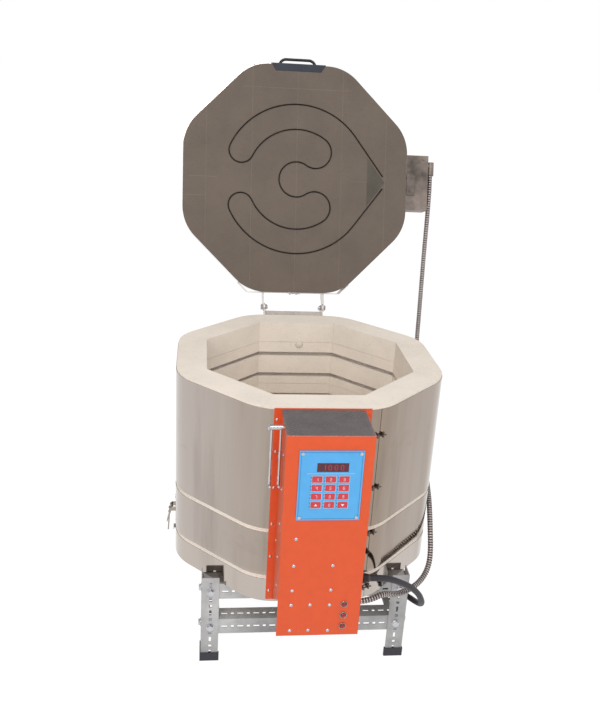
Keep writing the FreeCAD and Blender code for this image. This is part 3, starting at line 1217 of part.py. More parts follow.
def power_plug():
    """Heavy three-pin plug on the cord's tail, with its pins away from the coil."""
    y = CORD_COIL_Y + CORD_COIL_MEAN_R
    relief = Part.makeCone(CORD_D / 2 + 2, 13.0, 20, V(PLUG_X + 10, y, PLUG_Z), V(-1, 0, 0))
    face = PLUG_X - 52
    body = cylinder(19.0, (PLUG_X - 10, y, PLUG_Z), (face, y, PLUG_Z))
    plug = relief.fuse(body).cut(cylinder(CORD_D / 2 + 0.2, (PLUG_X + 11, y, PLUG_Z), (PLUG_X + 3, y, PLUG_Z)))
    for dz in (-8.5, 8.5):
        plug = plug.fuse(box(face - 18, face, y - 7, y + 7, PLUG_Z + dz - 0.8, PLUG_Z + dz + 0.8))
    plug = plug.fuse(cylinder(3.0, (face, y - 12, PLUG_Z), (face - 20, y - 12, PLUG_Z)))
    return plug.removeSplitter()


def main():
    save("wall_bricks", wall_bricks())
    save("floor_slab", floor_slab())
    save("section_jackets", jackets())
    save("jacket_clamps", jacket_clamps())
    save("wall_elements", wall_elements())
    save("element_terminals", terminal_parts())
    save("thermocouple", [thermocouple()])
    save("peephole_plug", [peephole_plug()])
    save("hinge_bracket", hinge_bracket())
    save("hinge_bolts", hinge_bolts())
    save("lid_slab", opened(lid_slab()))
    save("lid_element", opened([lid_element()]))
    save("lid_lead_cement", opened([lead_cement(0.2)]))
    save("lid_band", opened([lid_band()]))
    save("lid_handle_bracket", opened([handle_bracket()]))
    save("lid_handle", opened([handle_grip()]))
    save("lid_hinge_strap", opened([hinge_strap()]))
    save("lid_keeper", opened([lid_keeper()]))
    save("lid_junction_box", opened(junction_box()))
    save("control_back_plate", [back_plate()])
    save("control_side_panels", side_panels())
    save("control_front_panel", [front_panel()])
    save("control_top_grille", [top_grille()])
    save("control_bottom_plate", [bottom_plate()])
    save("cable_fittings", cable_fittings())
    save("panel_fasteners", fasteners())
    save("faceplate", [faceplate()])
    save("display_window", [display_window()])
    for number, (x, drop) in enumerate(key_places(), 1):
        save("key_%02d" % number, [key(x, drop)])
    save("controller_board", [controller_board()])
    save("relays", relays())
    save("transformer", [transformer()])
    save("pilot_lamps", pilot_lamps())
    save("hook_bolt", [hook_bolt()])
    save("lid_hooks", [lid_hooks()])
    base = latch_base()
    save("side_latch_bases", base + [to_right(s) for s in base])
    lever, bail = latch_lever(), latch_bail()
    save("left_latch_lever", [lever])
    save("left_latch_bail", [bail])
    save("right_latch_lever", [to_right(lever)])
    save("right_latch_bail", [to_right(bail)])
    save("stand_legs", stand_legs())
    save("stand_top_rails", cross_bars(BODY_BOTTOM, False))
    save("stand_braces", cross_bars(BRACE_TOP, True))
    save("stand_bolts", stand_bolts())
    save("foot_caps", foot_caps())
    save("lid_conduit", [lead(conduit_points(), CONDUIT_D, "conduit")])
    save("power_cord", [lead(cord_points(), CORD_D, "cord").cut(coil_space())])
    save("power_cord_coil", [cord_coil()])
    save("power_plug", [power_plug()])


main()
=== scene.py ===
"""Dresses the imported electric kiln: camera, leads, materials and fine detail."""

import bpy
import bmesh
import math
from mathutils import Matrix, Vector
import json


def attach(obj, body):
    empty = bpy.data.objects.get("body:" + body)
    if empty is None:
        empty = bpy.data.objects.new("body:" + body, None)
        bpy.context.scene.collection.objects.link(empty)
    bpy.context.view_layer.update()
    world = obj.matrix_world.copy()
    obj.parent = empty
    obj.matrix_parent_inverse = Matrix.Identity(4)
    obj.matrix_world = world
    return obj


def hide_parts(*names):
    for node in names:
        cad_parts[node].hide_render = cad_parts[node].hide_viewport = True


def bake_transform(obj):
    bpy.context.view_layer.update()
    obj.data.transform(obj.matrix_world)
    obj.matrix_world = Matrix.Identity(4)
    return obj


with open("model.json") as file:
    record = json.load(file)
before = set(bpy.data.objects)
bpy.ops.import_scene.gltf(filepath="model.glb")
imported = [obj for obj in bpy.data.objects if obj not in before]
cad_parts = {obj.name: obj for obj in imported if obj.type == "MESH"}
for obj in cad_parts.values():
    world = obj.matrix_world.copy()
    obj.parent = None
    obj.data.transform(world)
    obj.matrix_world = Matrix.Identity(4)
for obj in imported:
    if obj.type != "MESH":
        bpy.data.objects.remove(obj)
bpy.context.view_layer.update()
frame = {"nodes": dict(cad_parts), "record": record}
scene = bpy.context.scene
scene.view_settings.view_transform = "Standard"

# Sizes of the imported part, in metres
RIM = 0.640
LID_Z = RIM + 0.0004
BODY_APOTHEM = 0.28575
CHAMBER_APOTHEM = 0.221
COURSE_H = 0.111
COURSE_TOPS = (0.590, 0.479, 0.368)
HALF_TURN = math.radians(22.5)
CORNER_R = 0.108
CORNER_OUT = (BODY_APOTHEM - CORNER_R) / math.cos(HALF_TURN) + CORNER_R
BACK_PLATE_Y = -0.28745
FRONT_Y = -0.400
HINGE = Vector((0, 0.324, 0.648))
OPEN = math.radians(107)


def swung(y, z):
    """Y and Z of a place in the closed lid's frame, moved to where it lies with the lid open."""
    dy, dz = y - HINGE.y, z - HINGE.z
    return (HINGE.y + dy * math.cos(OPEN) + dz * math.sin(OPEN),
            HINGE.z - dy * math.sin(OPEN) + dz * math.cos(OPEN))


def opened(p):
    """A place in the closed lid's frame, as a point with the lid open."""
    return Vector((p[0], *swung(p[1], p[2])))


# Camera at the photograph's viewing angle
CAM = Vector((-0.23444, -1.73654, 1.2956))
YAW, PITCH, ROLL = 0.1256, 0.3645, 0.0593
LENS, SENSOR = 42.12, 36
fwd = Vector((math.sin(YAW) * math.cos(PITCH), math.cos(YAW) * math.cos(PITCH), -math.sin(PITCH)))
flat_right = Vector((math.cos(YAW), -math.sin(YAW), 0))
flat_up = flat_right.cross(fwd)
right = math.cos(ROLL) * flat_right + math.sin(ROLL) * flat_up
up = -math.sin(ROLL) * flat_right + math.cos(ROLL) * flat_up
cam_data = bpy.data.cameras.new("camera")
cam_data.lens = LENS
cam_data.sensor_width = SENSOR
cam_data.clip_end = 50
cam = bpy.data.objects.new("camera", cam_data)
scene.collection.objects.link(cam)
cam.matrix_world = Matrix(((right.x, up.x, -fwd.x, CAM.x), (right.y, up.y, -fwd.y, CAM.y),
                           (right.z, up.z, -fwd.z, CAM.z), (0, 0, 0, 1)))
scene.camera = cam


# Materials
def shader(name):
    """New material, its node tree and its surface node."""
    m = bpy.data.materials.new(name)
    m.use_nodes = True
    nt = m.node_tree
    return m, nt, nt.nodes["Principled BSDF"]


def feed(nt, value, socket):
    """Links another node's output to the socket, or sets a plain value there."""
    if isinstance(value, bpy.types.NodeSocket):
        nt.links.new(value, socket)
    else:
        socket.default_value = value


def coords(nt, stretch):
    """Object coordinates, stretched by a factor along each axis."""
    tc = nt.nodes.new("ShaderNodeTexCoord")
    mp = nt.nodes.new("ShaderNodeMapping")
    mp.inputs["Scale"].default_value = stretch
    nt.links.new(tc.outputs["Object"], mp.inputs["Vector"])
    return mp.outputs["Vector"]


def object_xyz(nt):
    """The three object coordinates, one socket each."""
    tc = nt.nodes.new("ShaderNodeTexCoord")
    xyz = nt.nodes.new("ShaderNodeSeparateXYZ")
    nt.links.new(tc.outputs["Object"], xyz.inputs[0])
    return xyz.outputs["X"], xyz.outputs["Y"], xyz.outputs["Z"]


def noise(nt, scale, detail, rough, stretch=(1, 1, 1)):
    n = nt.nodes.new("ShaderNodeTexNoise")
    n.inputs["Scale"].default_value = scale
    n.inputs["Detail"].default_value = detail
    n.inputs["Roughness"].default_value = rough
    nt.links.new(coords(nt, stretch), n.inputs["Vector"])
    return n.outputs["Fac"]


def ramp(nt, fac, stops):
    """Colour by a factor; stops holds (position, colour) pairs."""
    r = nt.nodes.new("ShaderNodeValToRGB")
    r.color_ramp.elements[0].position = stops[0][0]
    r.color_ramp.elements[0].color = (*stops[0][1], 1)
    r.color_ramp.elements[1].position = stops[-1][0]
    r.color_ramp.elements[1].color = (*stops[-1][1], 1)
    for pos, col in stops[1:-1]:
        e = r.color_ramp.elements.new(pos)
        e.color = (*col, 1)
    nt.links.new(fac, r.inputs["Fac"])
    return r.outputs["Color"]


def span(nt, fac, low, high):
    """A factor from 0 to 1 spread from low to high."""
    m = nt.nodes.new("ShaderNodeMapRange")
    m.inputs["To Min"].default_value = low
    m.inputs["To Max"].default_value = high
    nt.links.new(fac, m.inputs["Value"])
    return m.outputs["Result"]


def multiply(nt, first, second, factor=1.0):
    """The first colour times the second, mixed in by the factor."""
    mix = nt.nodes.new("ShaderNodeMix")
    mix.data_type = "RGBA"
    mix.blend_type = "MULTIPLY"
    feed(nt, factor, mix.inputs["Factor"])
    feed(nt, first, mix.inputs[6])
    feed(nt, second, mix.inputs[7])
    return mix.outputs[2]


def maths(nt, op, *values):
    m = nt.nodes.new("ShaderNodeMath")
    m.operation = op
    for k, v in enumerate(values):
        feed(nt, v, m.inputs[k])
    return m.outputs[0]


def bump(nt, bsdf, height, strength, distance, bevel):
    """Height variation over edges that are eased by the bevel's radius."""
    b = nt.nodes.new("ShaderNodeBump")
    b.inputs["Strength"].default_value = strength
    b.inputs["Distance"].default_value = distance
    nt.links.new(height, b.inputs["Height"])
    e = nt.nodes.new("ShaderNodeBevel")
    e.samples = 4
    e.inputs["Radius"].default_value = bevel
    nt.links.new(e.outputs["Normal"], b.inputs["Normal"])
    nt.links.new(b.outputs["Normal"], bsdf.inputs["Normal"])


def srgb(hexa):
    """Linear colour of a six-digit hex code."""
    out = []
    for k in (0, 2, 4):
        c = int(hexa[k:k + 2], 16) / 255
        out.append(c / 12.92 if c <= 0.04045 else ((c + 0.055) / 1.055) ** 2.4)
    return tuple(out)


EASED_EDGE = 0.0006


def plain(name, hexa, metallic, rough, grain, depth, strength, spread, coat=0.0, rough_spread=0.12):
    """Surface with slight colour, roughness and height variation at one scale."""
    m, nt, b = shader(name)
    base = srgb(hexa)
    dark = tuple(c * (1 - spread) for c in base)
    light = tuple(min(1, c * (1 + spread)) for c in base)
    big = noise(nt, grain * 0.06, 4, 0.6)
    nt.links.new(ramp(nt, big, [(0.3, dark), (0.7, light)]), b.inputs["Base Color"])
    fine = noise(nt, grain, 3, 0.6)
    nt.links.new(span(nt, fine, max(0.02, rough - rough_spread), rough + rough_spread), b.inputs["Roughness"])
    b.inputs["Metallic"].default_value = metallic
    b.inputs["Coat Weight"].default_value = coat
    b.inputs["Coat Roughness"].default_value = 0.12
    bump(nt, b, fine, strength, depth, EASED_EDGE)
    return m


def seam(nt, value, period, offset, half_width):
    """1 on a line at every period of the value, 0 elsewhere."""
    shifted = maths(nt, "ADD", value, 20 * period + period / 2 - offset)
    away = maths(nt, "SUBTRACT", maths(nt, "MODULO", shifted, period), period / 2)
    return maths(nt, "LESS_THAN", maths(nt, "ABSOLUTE", away), half_width)


def between(nt, value, low, high):
    """1 where the value is between low and high, 0 elsewhere."""
    return maths(nt, "MULTIPLY", maths(nt, "GREATER_THAN", value, low), maths(nt, "LESS_THAN", value, high))


def firebrick(name, hexa, low=0.90, high=1.06, grain=260.0, seams=None, seam_tone=1.0):
    """Soft insulating brick: fine pores, faint blotches and, where seams is given, cement joints."""
    m, nt, b = shader(name)
    base = srgb(hexa)
    blotch = noise(nt, 9.0, 5, 0.65)
    pores = noise(nt, grain, 4, 0.7)
    clay = ramp(nt, blotch, [(0.25, tuple(c * low for c in base)),
                             (0.75, tuple(min(1, c * high) for c in base))])
    pits = ramp(nt, pores, [(0.28, (0.80, 0.79, 0.77)), (0.42, (0.985, 0.985, 0.985)), (1.0, (1, 1, 1))])
    colour, height = multiply(nt, clay, pits), pores
    if seams:
        line = seams(nt, *object_xyz(nt))
        colour = multiply(nt, colour, (seam_tone, seam_tone * 0.98, seam_tone * 0.95, 1), line)
        height = maths(nt, "SUBTRACT", pores, maths(nt, "MULTIPLY", line, 0.8))
    nt.links.new(colour, b.inputs["Base Color"])
    b.inputs["Roughness"].default_value = 0.95
    b.inputs["Specular IOR Level"].default_value = 0.15
    bump(nt, b, height, 0.5, 0.0006, 0.0012)
    return m


# Joint lines as half widths; each cross joint is its height over the lid's middle, then its two ends
STRIP_W, LID_JOINT, COURSE_JOINT, MITRE_JOINT = 0.1143, 0.0007, 0.0006, 0.0018
CROSS_JOINTS = ((0.226, -0.140, 0.130), (0.0, -0.270, -0.200), (0.0, 0.141, 0.227), (-0.047, -0.285, -0.2286))


def lid_seams(nt, x, y, z):
    """Joints between the lid's strips, and the cross joints inside some strips."""
    out = seam(nt, x, STRIP_W, 0.0, LID_JOINT)
    along_y, along_z = -math.cos(OPEN), math.sin(OPEN)
    middle_y, middle_z = swung(0, HINGE.z)
    v = maths(nt, "ADD", maths(nt, "MULTIPLY", y, along_y), maths(nt, "MULTIPLY", z, along_z))
    v = maths(nt, "SUBTRACT", v, along_y * middle_y + along_z * middle_z)
    for level, x0, x1 in CROSS_JOINTS:
        near = maths(nt, "LESS_THAN", maths(nt, "ABSOLUTE", maths(nt, "SUBTRACT", v, level)), LID_JOINT)
        out = maths(nt, "MAXIMUM", out, maths(nt, "MULTIPLY", near, between(nt, x, x0, x1)))
    return out


def wall_seams(nt, x, y, z):
    """Joints between the courses and on the mitres."""
    turn = maths(nt, "ARCTAN2", y, x)
    mitre = seam(nt, turn, 2 * HALF_TURN, HALF_TURN, MITRE_JOINT)
    return maths(nt, "MAXIMUM", seam(nt, z, COURSE_H, COURSE_TOPS[0] - 5 * COURSE_H, COURSE_JOINT), mitre)


# Bearing of the painted shade and reflection beside the control box, a darker, browner stretch of jacket, and the
# height from which it shows
PAINTED_SHADE_BEARING, PAINTED_SHADE_FROM_Z, PAINTED_SHADE_RISE = 0.28, 0.25, 50.0


def polished_sheet(name, hexa, rough):
    """Thin polished sheet that is not quite flat, with streaks, stains and painted shade and reflection beside the
    control box.
    """
    m, nt, b = shader(name)
    base = srgb(hexa)
    x, y, z = object_xyz(nt)
    streaks = noise(nt, 16.0, 4, 0.6, (1, 1, 0.10))
    tone = ramp(nt, streaks, [(0.30, tuple(c * 0.80 for c in base)), (0.48, tuple(c * 0.96 for c in base)),
                              (0.75, base)])
    around = maths(nt, "ARCTAN2", x, maths(nt, "MULTIPLY", y, -1))
    away = maths(nt, "ABSOLUTE", maths(nt, "SUBTRACT", around, PAINTED_SHADE_BEARING))
    wavy = maths(nt, "ADD", away, maths(nt, "MULTIPLY", streaks, 0.5))
    # Painted shade and reflection: the jacket is darker and browner near the control box's bearing, above a set
    # height.
    painted_shade = ramp(nt, maths(nt, "MULTIPLY", wavy, 0.4),
                   [(0.16, (0.66, 0.60, 0.54)), (0.34, (0.74, 0.70, 0.66)), (0.62, (0.92, 0.92, 0.93))])
    stains = noise(nt, 4.2, 6, 0.68, (1, 1, 1.4))
    stain = ramp(nt, stains, [(0.60, (1, 1, 1)), (0.66, (0.95, 0.935, 0.92)), (0.68, (1, 1, 1))])
    upper = maths(nt, "MULTIPLY_ADD", z, PAINTED_SHADE_RISE, -PAINTED_SHADE_RISE * PAINTED_SHADE_FROM_Z)
    nt.links.new(multiply(nt, multiply(nt, tone, stain), painted_shade, upper), b.inputs["Base Color"])
    b.inputs["Metallic"].default_value = 1.0
    film = noise(nt, 30.0, 4, 0.6, (1, 1, 0.3))
    nt.links.new(span(nt, film, rough - 0.03, rough + 0.05), b.inputs["Roughness"])
    wave = noise(nt, 5.0, 2, 0.4, (1, 1, 0.5))
    bump(nt, b, wave, 0.4, 0.006, 0.0003)
    return m


# One look per material slot: metallic, roughness, grain, depth and strength of the relief, colour spread
MATS = {
    "brick": firebrick("firebrick", "f4e9dc", seams=wall_seams, seam_tone=0.955),
    "jacket": polished_sheet("polished_sheet", "beb4ac", 0.08),
    "clamp_steel": plain("bright_steel", "c4c4c8", 1.0, 0.28, 500, 0.0001, 0.2, 0.10),
    "element_wire": plain("element_wire", "d2cccd", 0.3, 0.5, 900, 0.0001, 0.3, 0.25),
    "porcelain": plain("porcelain", "e9e3d8", 0.0, 0.3, 300, 0.0001, 0.1, 0.05, coat=0.3),
    "peephole_ceramic": firebrick("plug_ceramic", "e8dfd3"),
    "zinc_steel": plain("zinc_steel", "e6e0d9", 0.35, 0.30, 300, 0.0002, 0.25, 0.12),
    "cement": plain("cement", "5a554c", 0.0, 0.95, 220, 0.0006, 0.6, 0.22),
    "dark_blue_paint": plain("dark_blue_paint", "1e2634", 0.0, 0.55, 500, 0.0001, 0.05, 0.30),
    "black_grip": plain("black_grip", "17181b", 0.0, 0.42, 700, 0.0001, 0.3, 0.15),
    "galvanised": plain("galvanised", "7d726b", 0.7, 0.45, 300, 0.0002, 0.25, 0.55),
    "orange_paint": plain("orange_paint", "dd511b", 0.0, 0.40, 900, 0.00012, 0.18, 0.04, coat=0.08,
                          rough_spread=0.06),
    "grey_grille": plain("grey_grille", "7d7777", 0.3, 0.5, 500, 0.0001, 0.2, 0.10),
    "blue_plate": plain("blue_plate", "4fa9e6", 0.0, 0.36, 900, 0.00008, 0.12, 0.05, coat=0.2),
    "display_dark": plain("display_dark", "4a0f24", 0.0, 0.25, 500, 0.00005, 0.05, 0.10, coat=0.2),
    "red_key": plain("red_key", "cf2f3e", 0.0, 0.35, 900, 0.0001, 0.15, 0.06, coat=0.2),
    "board_green": plain("board_green", "1d6a3c", 0.0, 0.45, 500, 0.0001, 0.15, 0.15),
    "relay_case": plain("relay_case", "1a1b1e", 0.0, 0.35, 600, 0.0001, 0.2, 0.10),
    "transformer_steel": plain("transformer_steel", "4a4848", 0.8, 0.5, 400, 0.0002, 0.3, 0.20),
    "lamp_red": plain("lamp_red", "96151a", 0.0, 0.22, 500, 0.00005, 0.05, 0.10, coat=0.25),
    "latch_chrome": plain("latch_chrome", "a39a90", 1.0, 0.16, 500, 0.00005, 0.1, 0.10, rough_spread=0.05),
    "stand_paint": plain("stand_paint", "a8a8a8", 0.25, 0.42, 130, 0.0004, 0.35, 0.42),
    "foot_rubber": plain("foot_rubber", "37353d", 0.0, 0.7, 500, 0.0002, 0.3, 0.12),
    "conduit_metal": plain("conduit_metal", "bdb3af", 0.8, 0.30, 400, 0.0001, 0.2, 0.16),
    "cord_rubber": plain("cord_rubber", "2b272e", 0.0, 0.5, 600, 0.0001, 0.2, 0.10),
}

# Looks of single pieces that differ from the rest of their slot; the lid's brick is a darker copy of the wall's
# brick, painted shade for the lid's shaded underside
LID_BRICK_PAINTED_SHADE = firebrick("lid_firebrick_painted_shade", "73685f", 0.88, 1.10, 240, lid_seams, 1.30)
# The lid's wire is a darker copy of the wall's element wire: painted shade, like the lid's brick.
LID_WIRE_PAINTED_SHADE = plain("lid_wire_painted_shade", "4f4947", 0.6, 0.5, 900, 0.0001, 0.3, 0.25)
HOOK_CHROME = plain("hook_chrome", "c2c0c4", 1.0, 0.14, 500, 0.00005, 0.1, 0.10, rough_spread=0.05)
OWN_LOOK = {"lid_slab": LID_BRICK_PAINTED_SHADE, "lid_hooks": HOOK_CHROME}
SLOT_OF = {s["node"]: s["material_slot"] for s in frame["record"]["subparts"]}
for node, obj in frame["nodes"].items():
    for held in obj.material_slots:
        held.material = OWN_LOOK.get(node, MATS[SLOT_OF[node]])


# Routes of the free leads, in metres
def zr(drop):
    """Height of a place that lies this far below the rim."""
    return RIM - drop


CONDUIT_D = 0.013
CORD_D = 0.013
LEAD_Y = -0.330
SEAT_GAP, JBOX_W, ELBOW_REACH = 0.0003, 0.057, 0.012
ELBOW_Y, ELBOW_Z = -0.052, LID_Z + 0.005 + 0.025
SIDE_FRONT_DROP, SIDE_BACK_DROP, PANEL_BACK_Y = 0.353, 0.434, -0.39850
SLOPE = math.atan2(SIDE_BACK_DROP - SIDE_FRONT_DROP, BACK_PLATE_Y - PANEL_BACK_Y)

# The conduit starts in the elbow of the lid's box and ends in the one under the sloping bottom plate.
sx = BODY_APOTHEM + SEAT_GAP + JBOX_W + ELBOW_REACH
sy, sz = swung(ELBOW_Y + 0.008, ELBOW_Z)
ey = LEAD_Y
ez = zr(0.430) + (BACK_PLATE_Y - ey) * math.tan(SLOPE) - 0.014
CONDUIT = [(sx, sy, sz), (sx, sy + 0.030 / math.tan(OPEN), sz - 0.030), (sx, 0.436, zr(-0.288)),
           (0.3555, 0.431, zr(-0.222)), (0.355, 0.424, zr(-0.146)), (0.3545, 0.414, zr(-0.066)),
           (0.354, 0.402, zr(0.016)), (0.351, 0.384, zr(0.092)), (0.345, 0.350, zr(0.156)),
           (0.337, 0.296, zr(0.204)), (0.328, 0.226, zr(0.234)), (0.319, 0.150, zr(0.258)),
           (0.311, 0.074, zr(0.281)), (0.306, 0.004, zr(0.306)), (0.301, -0.054, zr(0.331)),
           (0.295, -0.098, zr(0.355)), (0.290, -0.132, zr(0.378)), (0.287, -0.158, zr(0.403)),
           (0.280, -0.184, zr(0.423)), (0.264, -0.211, zr(0.436)), (0.241, -0.237, zr(0.441)),
           (0.213, -0.262, zr(0.438)), (0.181, -0.286, zr(0.431)), (0.150, -0.308, ez + 0.003),
           (0.120, ey + 0.006, ez), (0.092, ey, ez), (0.058, ey, ez)]

# The cord leaves its gland in a loop, drops to the floor and ends in a coil behind the stand.
GLAND_DROP = 0.356
GLAND_END = (0.1113, LEAD_Y, zr(GLAND_DROP))
COIL_X, COIL_Y, COIL_R = -0.010, 0.345, 0.0715
FLAT = CORD_D / 2
CORD = [GLAND_END, (0.136, LEAD_Y, zr(GLAND_DROP)), (0.161, -0.321, zr(0.367)), (0.186, -0.310, zr(0.384)),
        (0.211, -0.297, zr(0.405)), (0.232, -0.284, zr(0.431)), (0.246, -0.268, zr(0.461)),
        (0.254, -0.244, zr(0.488)), (0.252, -0.214, zr(0.506)), (0.240, -0.182, zr(0.513)),
        (0.217, -0.156, zr(0.513)), (0.192, -0.137, zr(0.515)), (0.172, -0.118, zr(0.527)),
        (0.157, -0.095, zr(0.550)), (0.147, -0.068, zr(0.580)), (0.139, -0.033, zr(0.610)),
        (0.132, 0.010, zr(0.628)), (0.122, 0.060, 0.0075), (0.108, 0.112, FLAT), (0.096, 0.166, FLAT),
        (0.088, 0.222, FLAT), (0.080, 0.276, FLAT)]
TURNS, PER_TURN = 2, 14
for k in range(-1, PER_TURN * TURNS + 4):
    a = 2 * math.pi * k / PER_TURN
    lift = FLAT + CORD_D * min(1.0, max(0.0, (k - 9) / 5.0))
    r = COIL_R + (0.0012 if k < 12 else -0.0008)
    CORD.append((COIL_X + r * math.cos(a), COIL_Y + r * math.sin(a), lift))
CORD += [(COIL_X - 0.014, COIL_Y + COIL_R, 0.0193), (COIL_X - 0.050, COIL_Y + COIL_R, 0.0192),
         (COIL_X - 0.085, COIL_Y + COIL_R, 0.0192)]


def nurbs(name, points):
    """Smooth curve that starts and ends at its first and last point."""
    cu = bpy.data.curves.new(name, "CURVE")
    cu.dimensions = "3D"
    sp = cu.splines.new("NURBS")
    sp.points.add(len(points) - 1)
    for p, q in zip(sp.points, points):
        p.co = (*q, 1)
    sp.order_u = 3
    sp.use_endpoint_u = True
    sp.resolution_u = 8
    ob = bpy.data.objects.new(name, cu)
    scene.collection.objects.link(ob)
    return ob


def curve_points(ob):
    """Points of the curve's own smooth line."""
    bpy.context.view_layer.update()
    dg = bpy.context.evaluated_depsgraph_get()
    me = bpy.data.meshes.new_from_object(ob.evaluated_get(dg))
    pts = [v.co.copy() for v in me.vertices]
    bpy.data.meshes.remove(me)
    return pts


def even(points, step):
    """The line resampled at an even step."""
    out = [points[0].copy()]
    rest = step
    for a, b in zip(points, points[1:]):
        d = (b - a).length
        if d < 1e-9:
            continue
        t = rest
        while t <= d:
            out.append(a.lerp(b, t / d))
            t += step
        rest = t - d
    return out


def frames(points):
    """Tangent and two normals at each point, carried along without twist."""
    out = []
    n = None
    for k, p in enumerate(points):
        a, b = points[max(0, k - 1)], points[min(len(points) - 1, k + 1)]
        t = (b - a).normalized()
        if n is None:
            n = t.orthogonal().normalized()
        n = (n - t * n.dot(t)).normalized()
        out.append((t, n, t.cross(n)))
    return out


def add_mesh(name, verts, faces, mat, smooth=True):
    me = bpy.data.meshes.new(name)
    me.from_pydata(verts, [], faces)
    me.update()
    if smooth:
        me.polygons.foreach_set("use_smooth", [True] * len(me.polygons))
    me.materials.append(mat)
    ob = bpy.data.objects.new(name, me)
    scene.collection.objects.link(ob)
    return ob


def tube(name, points, radii, sides, mat):
    """Closed tube along points, with a radius at each."""
    verts, faces = [], []
    for p, (t, n, b), r in zip(points, frames(points), radii):
        for s in range(sides):
            a = 2 * math.pi * s / sides
            verts.append(p + (n * math.cos(a) + b * math.sin(a)) * r)
    for k in range(len(points) - 1):
        for s in range(sides):
            s2 = (s + 1) % sides
            faces.append((k * sides + s, k * sides + s2, (k + 1) * sides + s2, (k + 1) * sides + s))
    faces.append(tuple(reversed(range(sides))))
    faces.append(tuple(range((len(points) - 1) * sides, len(points) * sides)))
    return add_mesh(name, verts, faces, mat)


def face_outward(ob, merge=0.0):
    """Turns the faces outward, once points closer than merge are joined."""
    bm = bmesh.new()
    bm.from_mesh(ob.data)
    if merge:
        bmesh.ops.remove_doubles(bm, verts=bm.verts, dist=merge)
    bmesh.ops.recalc_face_normals(bm, faces=bm.faces)
    bm.to_mesh(ob.data)
    bm.free()
    return ob


def length(points):
    """Length of a line of points."""
    return sum((b - a).length for a, b in zip(points, points[1:]))


cord = nurbs("power_cord_line", CORD)
cord_len = length(curve_points(cord))
cord.data.bevel_depth = CORD_D / 2
cord.data.bevel_resolution = 5
cord.data.use_fill_caps = True
cord.data.materials.append(MATS["cord_rubber"])
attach(cord, "root")
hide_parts("power_cord", "power_cord_coil")

guide = nurbs("conduit_guide", CONDUIT)
guide_points = curve_points(guide)
bpy.data.objects.remove(guide)
steps = even(guide_points, 0.0015)
RIDGE = (0.95, 1.0, 0.95, 0.78)
SIDES = 14
ridges = [CONDUIT_D / 2 * RIDGE[k % len(RIDGE)] for k in range(len(steps))]
conduit = tube("lid_conduit_armour", steps, ridges, SIDES, MATS["conduit_metal"])
# The groove faces get a darker, duller copy of the conduit's metal: painted shade in the recesses between the
# ridges.
conduit.data.materials.append(plain("conduit_groove_painted_shade", "423b3e", 0.2, 0.6, 400, 0.0001, 0.2, 0.16))
for poly in conduit.data.polygons:
    if (poly.index // SIDES) % len(RIDGE) >= 2:
        poly.material_index = 1
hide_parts("lid_conduit")
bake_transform(conduit)
[list(p) for p in even(guide_points, 0.008)] + [list(guide_points[-1])]


# Shapes shared by the detail pieces
def helix(name, path, radius, pitch, wire, mat, per_turn=8, sides=4):
    """Wound wire along a path."""
    pts = even(path, pitch / per_turn)
    out = []
    for k, (p, (t, n, b)) in enumerate(zip(pts, frames(pts))):
        a = 2 * math.pi * k / per_turn
        out.append(p + (n * math.cos(a) + b * math.sin(a)) * radius)
    return tube(name, out, [wire] * len(out), sides, mat)


def boxes(name, spans, mat):
    """Boxes as one mesh; each span is x0, x1, y0, y1, z0, z1."""
    verts, faces = [], []
    for x0, x1, y0, y1, z0, z1 in spans:
        k = len(verts)
        verts += [(x, y, z) for z in (z0, z1) for x, y in ((x0, y0), (x1, y0), (x1, y1), (x0, y1))]
        faces += [(k + 3, k + 2, k + 1, k), (k + 4, k + 5, k + 6, k + 7), (k, k + 1, k + 5, k + 4),
                  (k + 1, k + 2, k + 6, k + 5), (k + 2, k + 3, k + 7, k + 6), (k + 3, k, k + 4, k + 7)]
    return add_mesh(name, verts, faces, mat, False)


def lathe(name, profile, place, axis, mat, sides=32):
    """Round piece: profile holds (distance along the axis, radius) pairs."""
    axis = Vector(axis).normalized()
    n = axis.orthogonal().normalized()
    b = axis.cross(n)
    place = Vector(place)
    verts, faces = [], []
    for d, r in profile:
        for s in range(sides):
            a = 2 * math.pi * s / sides
            verts.append(place + axis * d + (n * math.cos(a) + b * math.sin(a)) * max(r, 1e-5))
    for k in range(len(profile) - 1):
        for s in range(sides):
            s2 = (s + 1) % sides
            faces.append((k * sides + s, (k + 1) * sides + s, (k + 1) * sides + s2, k * sides + s2))
    return face_outward(add_mesh(name, verts, faces, mat), 2e-5)


def join(name, parts):
    """One object from several meshes that keep their own materials."""
    bm = bmesh.new()
    mats = []
    for ob in parts:
        start = len(bm.faces)
        bm.from_mesh(ob.data)
        bm.faces.ensure_lookup_table()
        offset = len(mats)
        for f in bm.faces[start:]:
            f.material_index += offset
        mats += list(ob.data.materials)
    me = bpy.data.meshes.new(name)
    bm.to_mesh(me)
    bm.free()
    for m in mats:
        me.materials.append(m)
    ob = bpy.data.objects.new(name, me)
    scene.collection.objects.link(ob)
    for old in parts:
        bpy.data.objects.remove(old)
    return ob


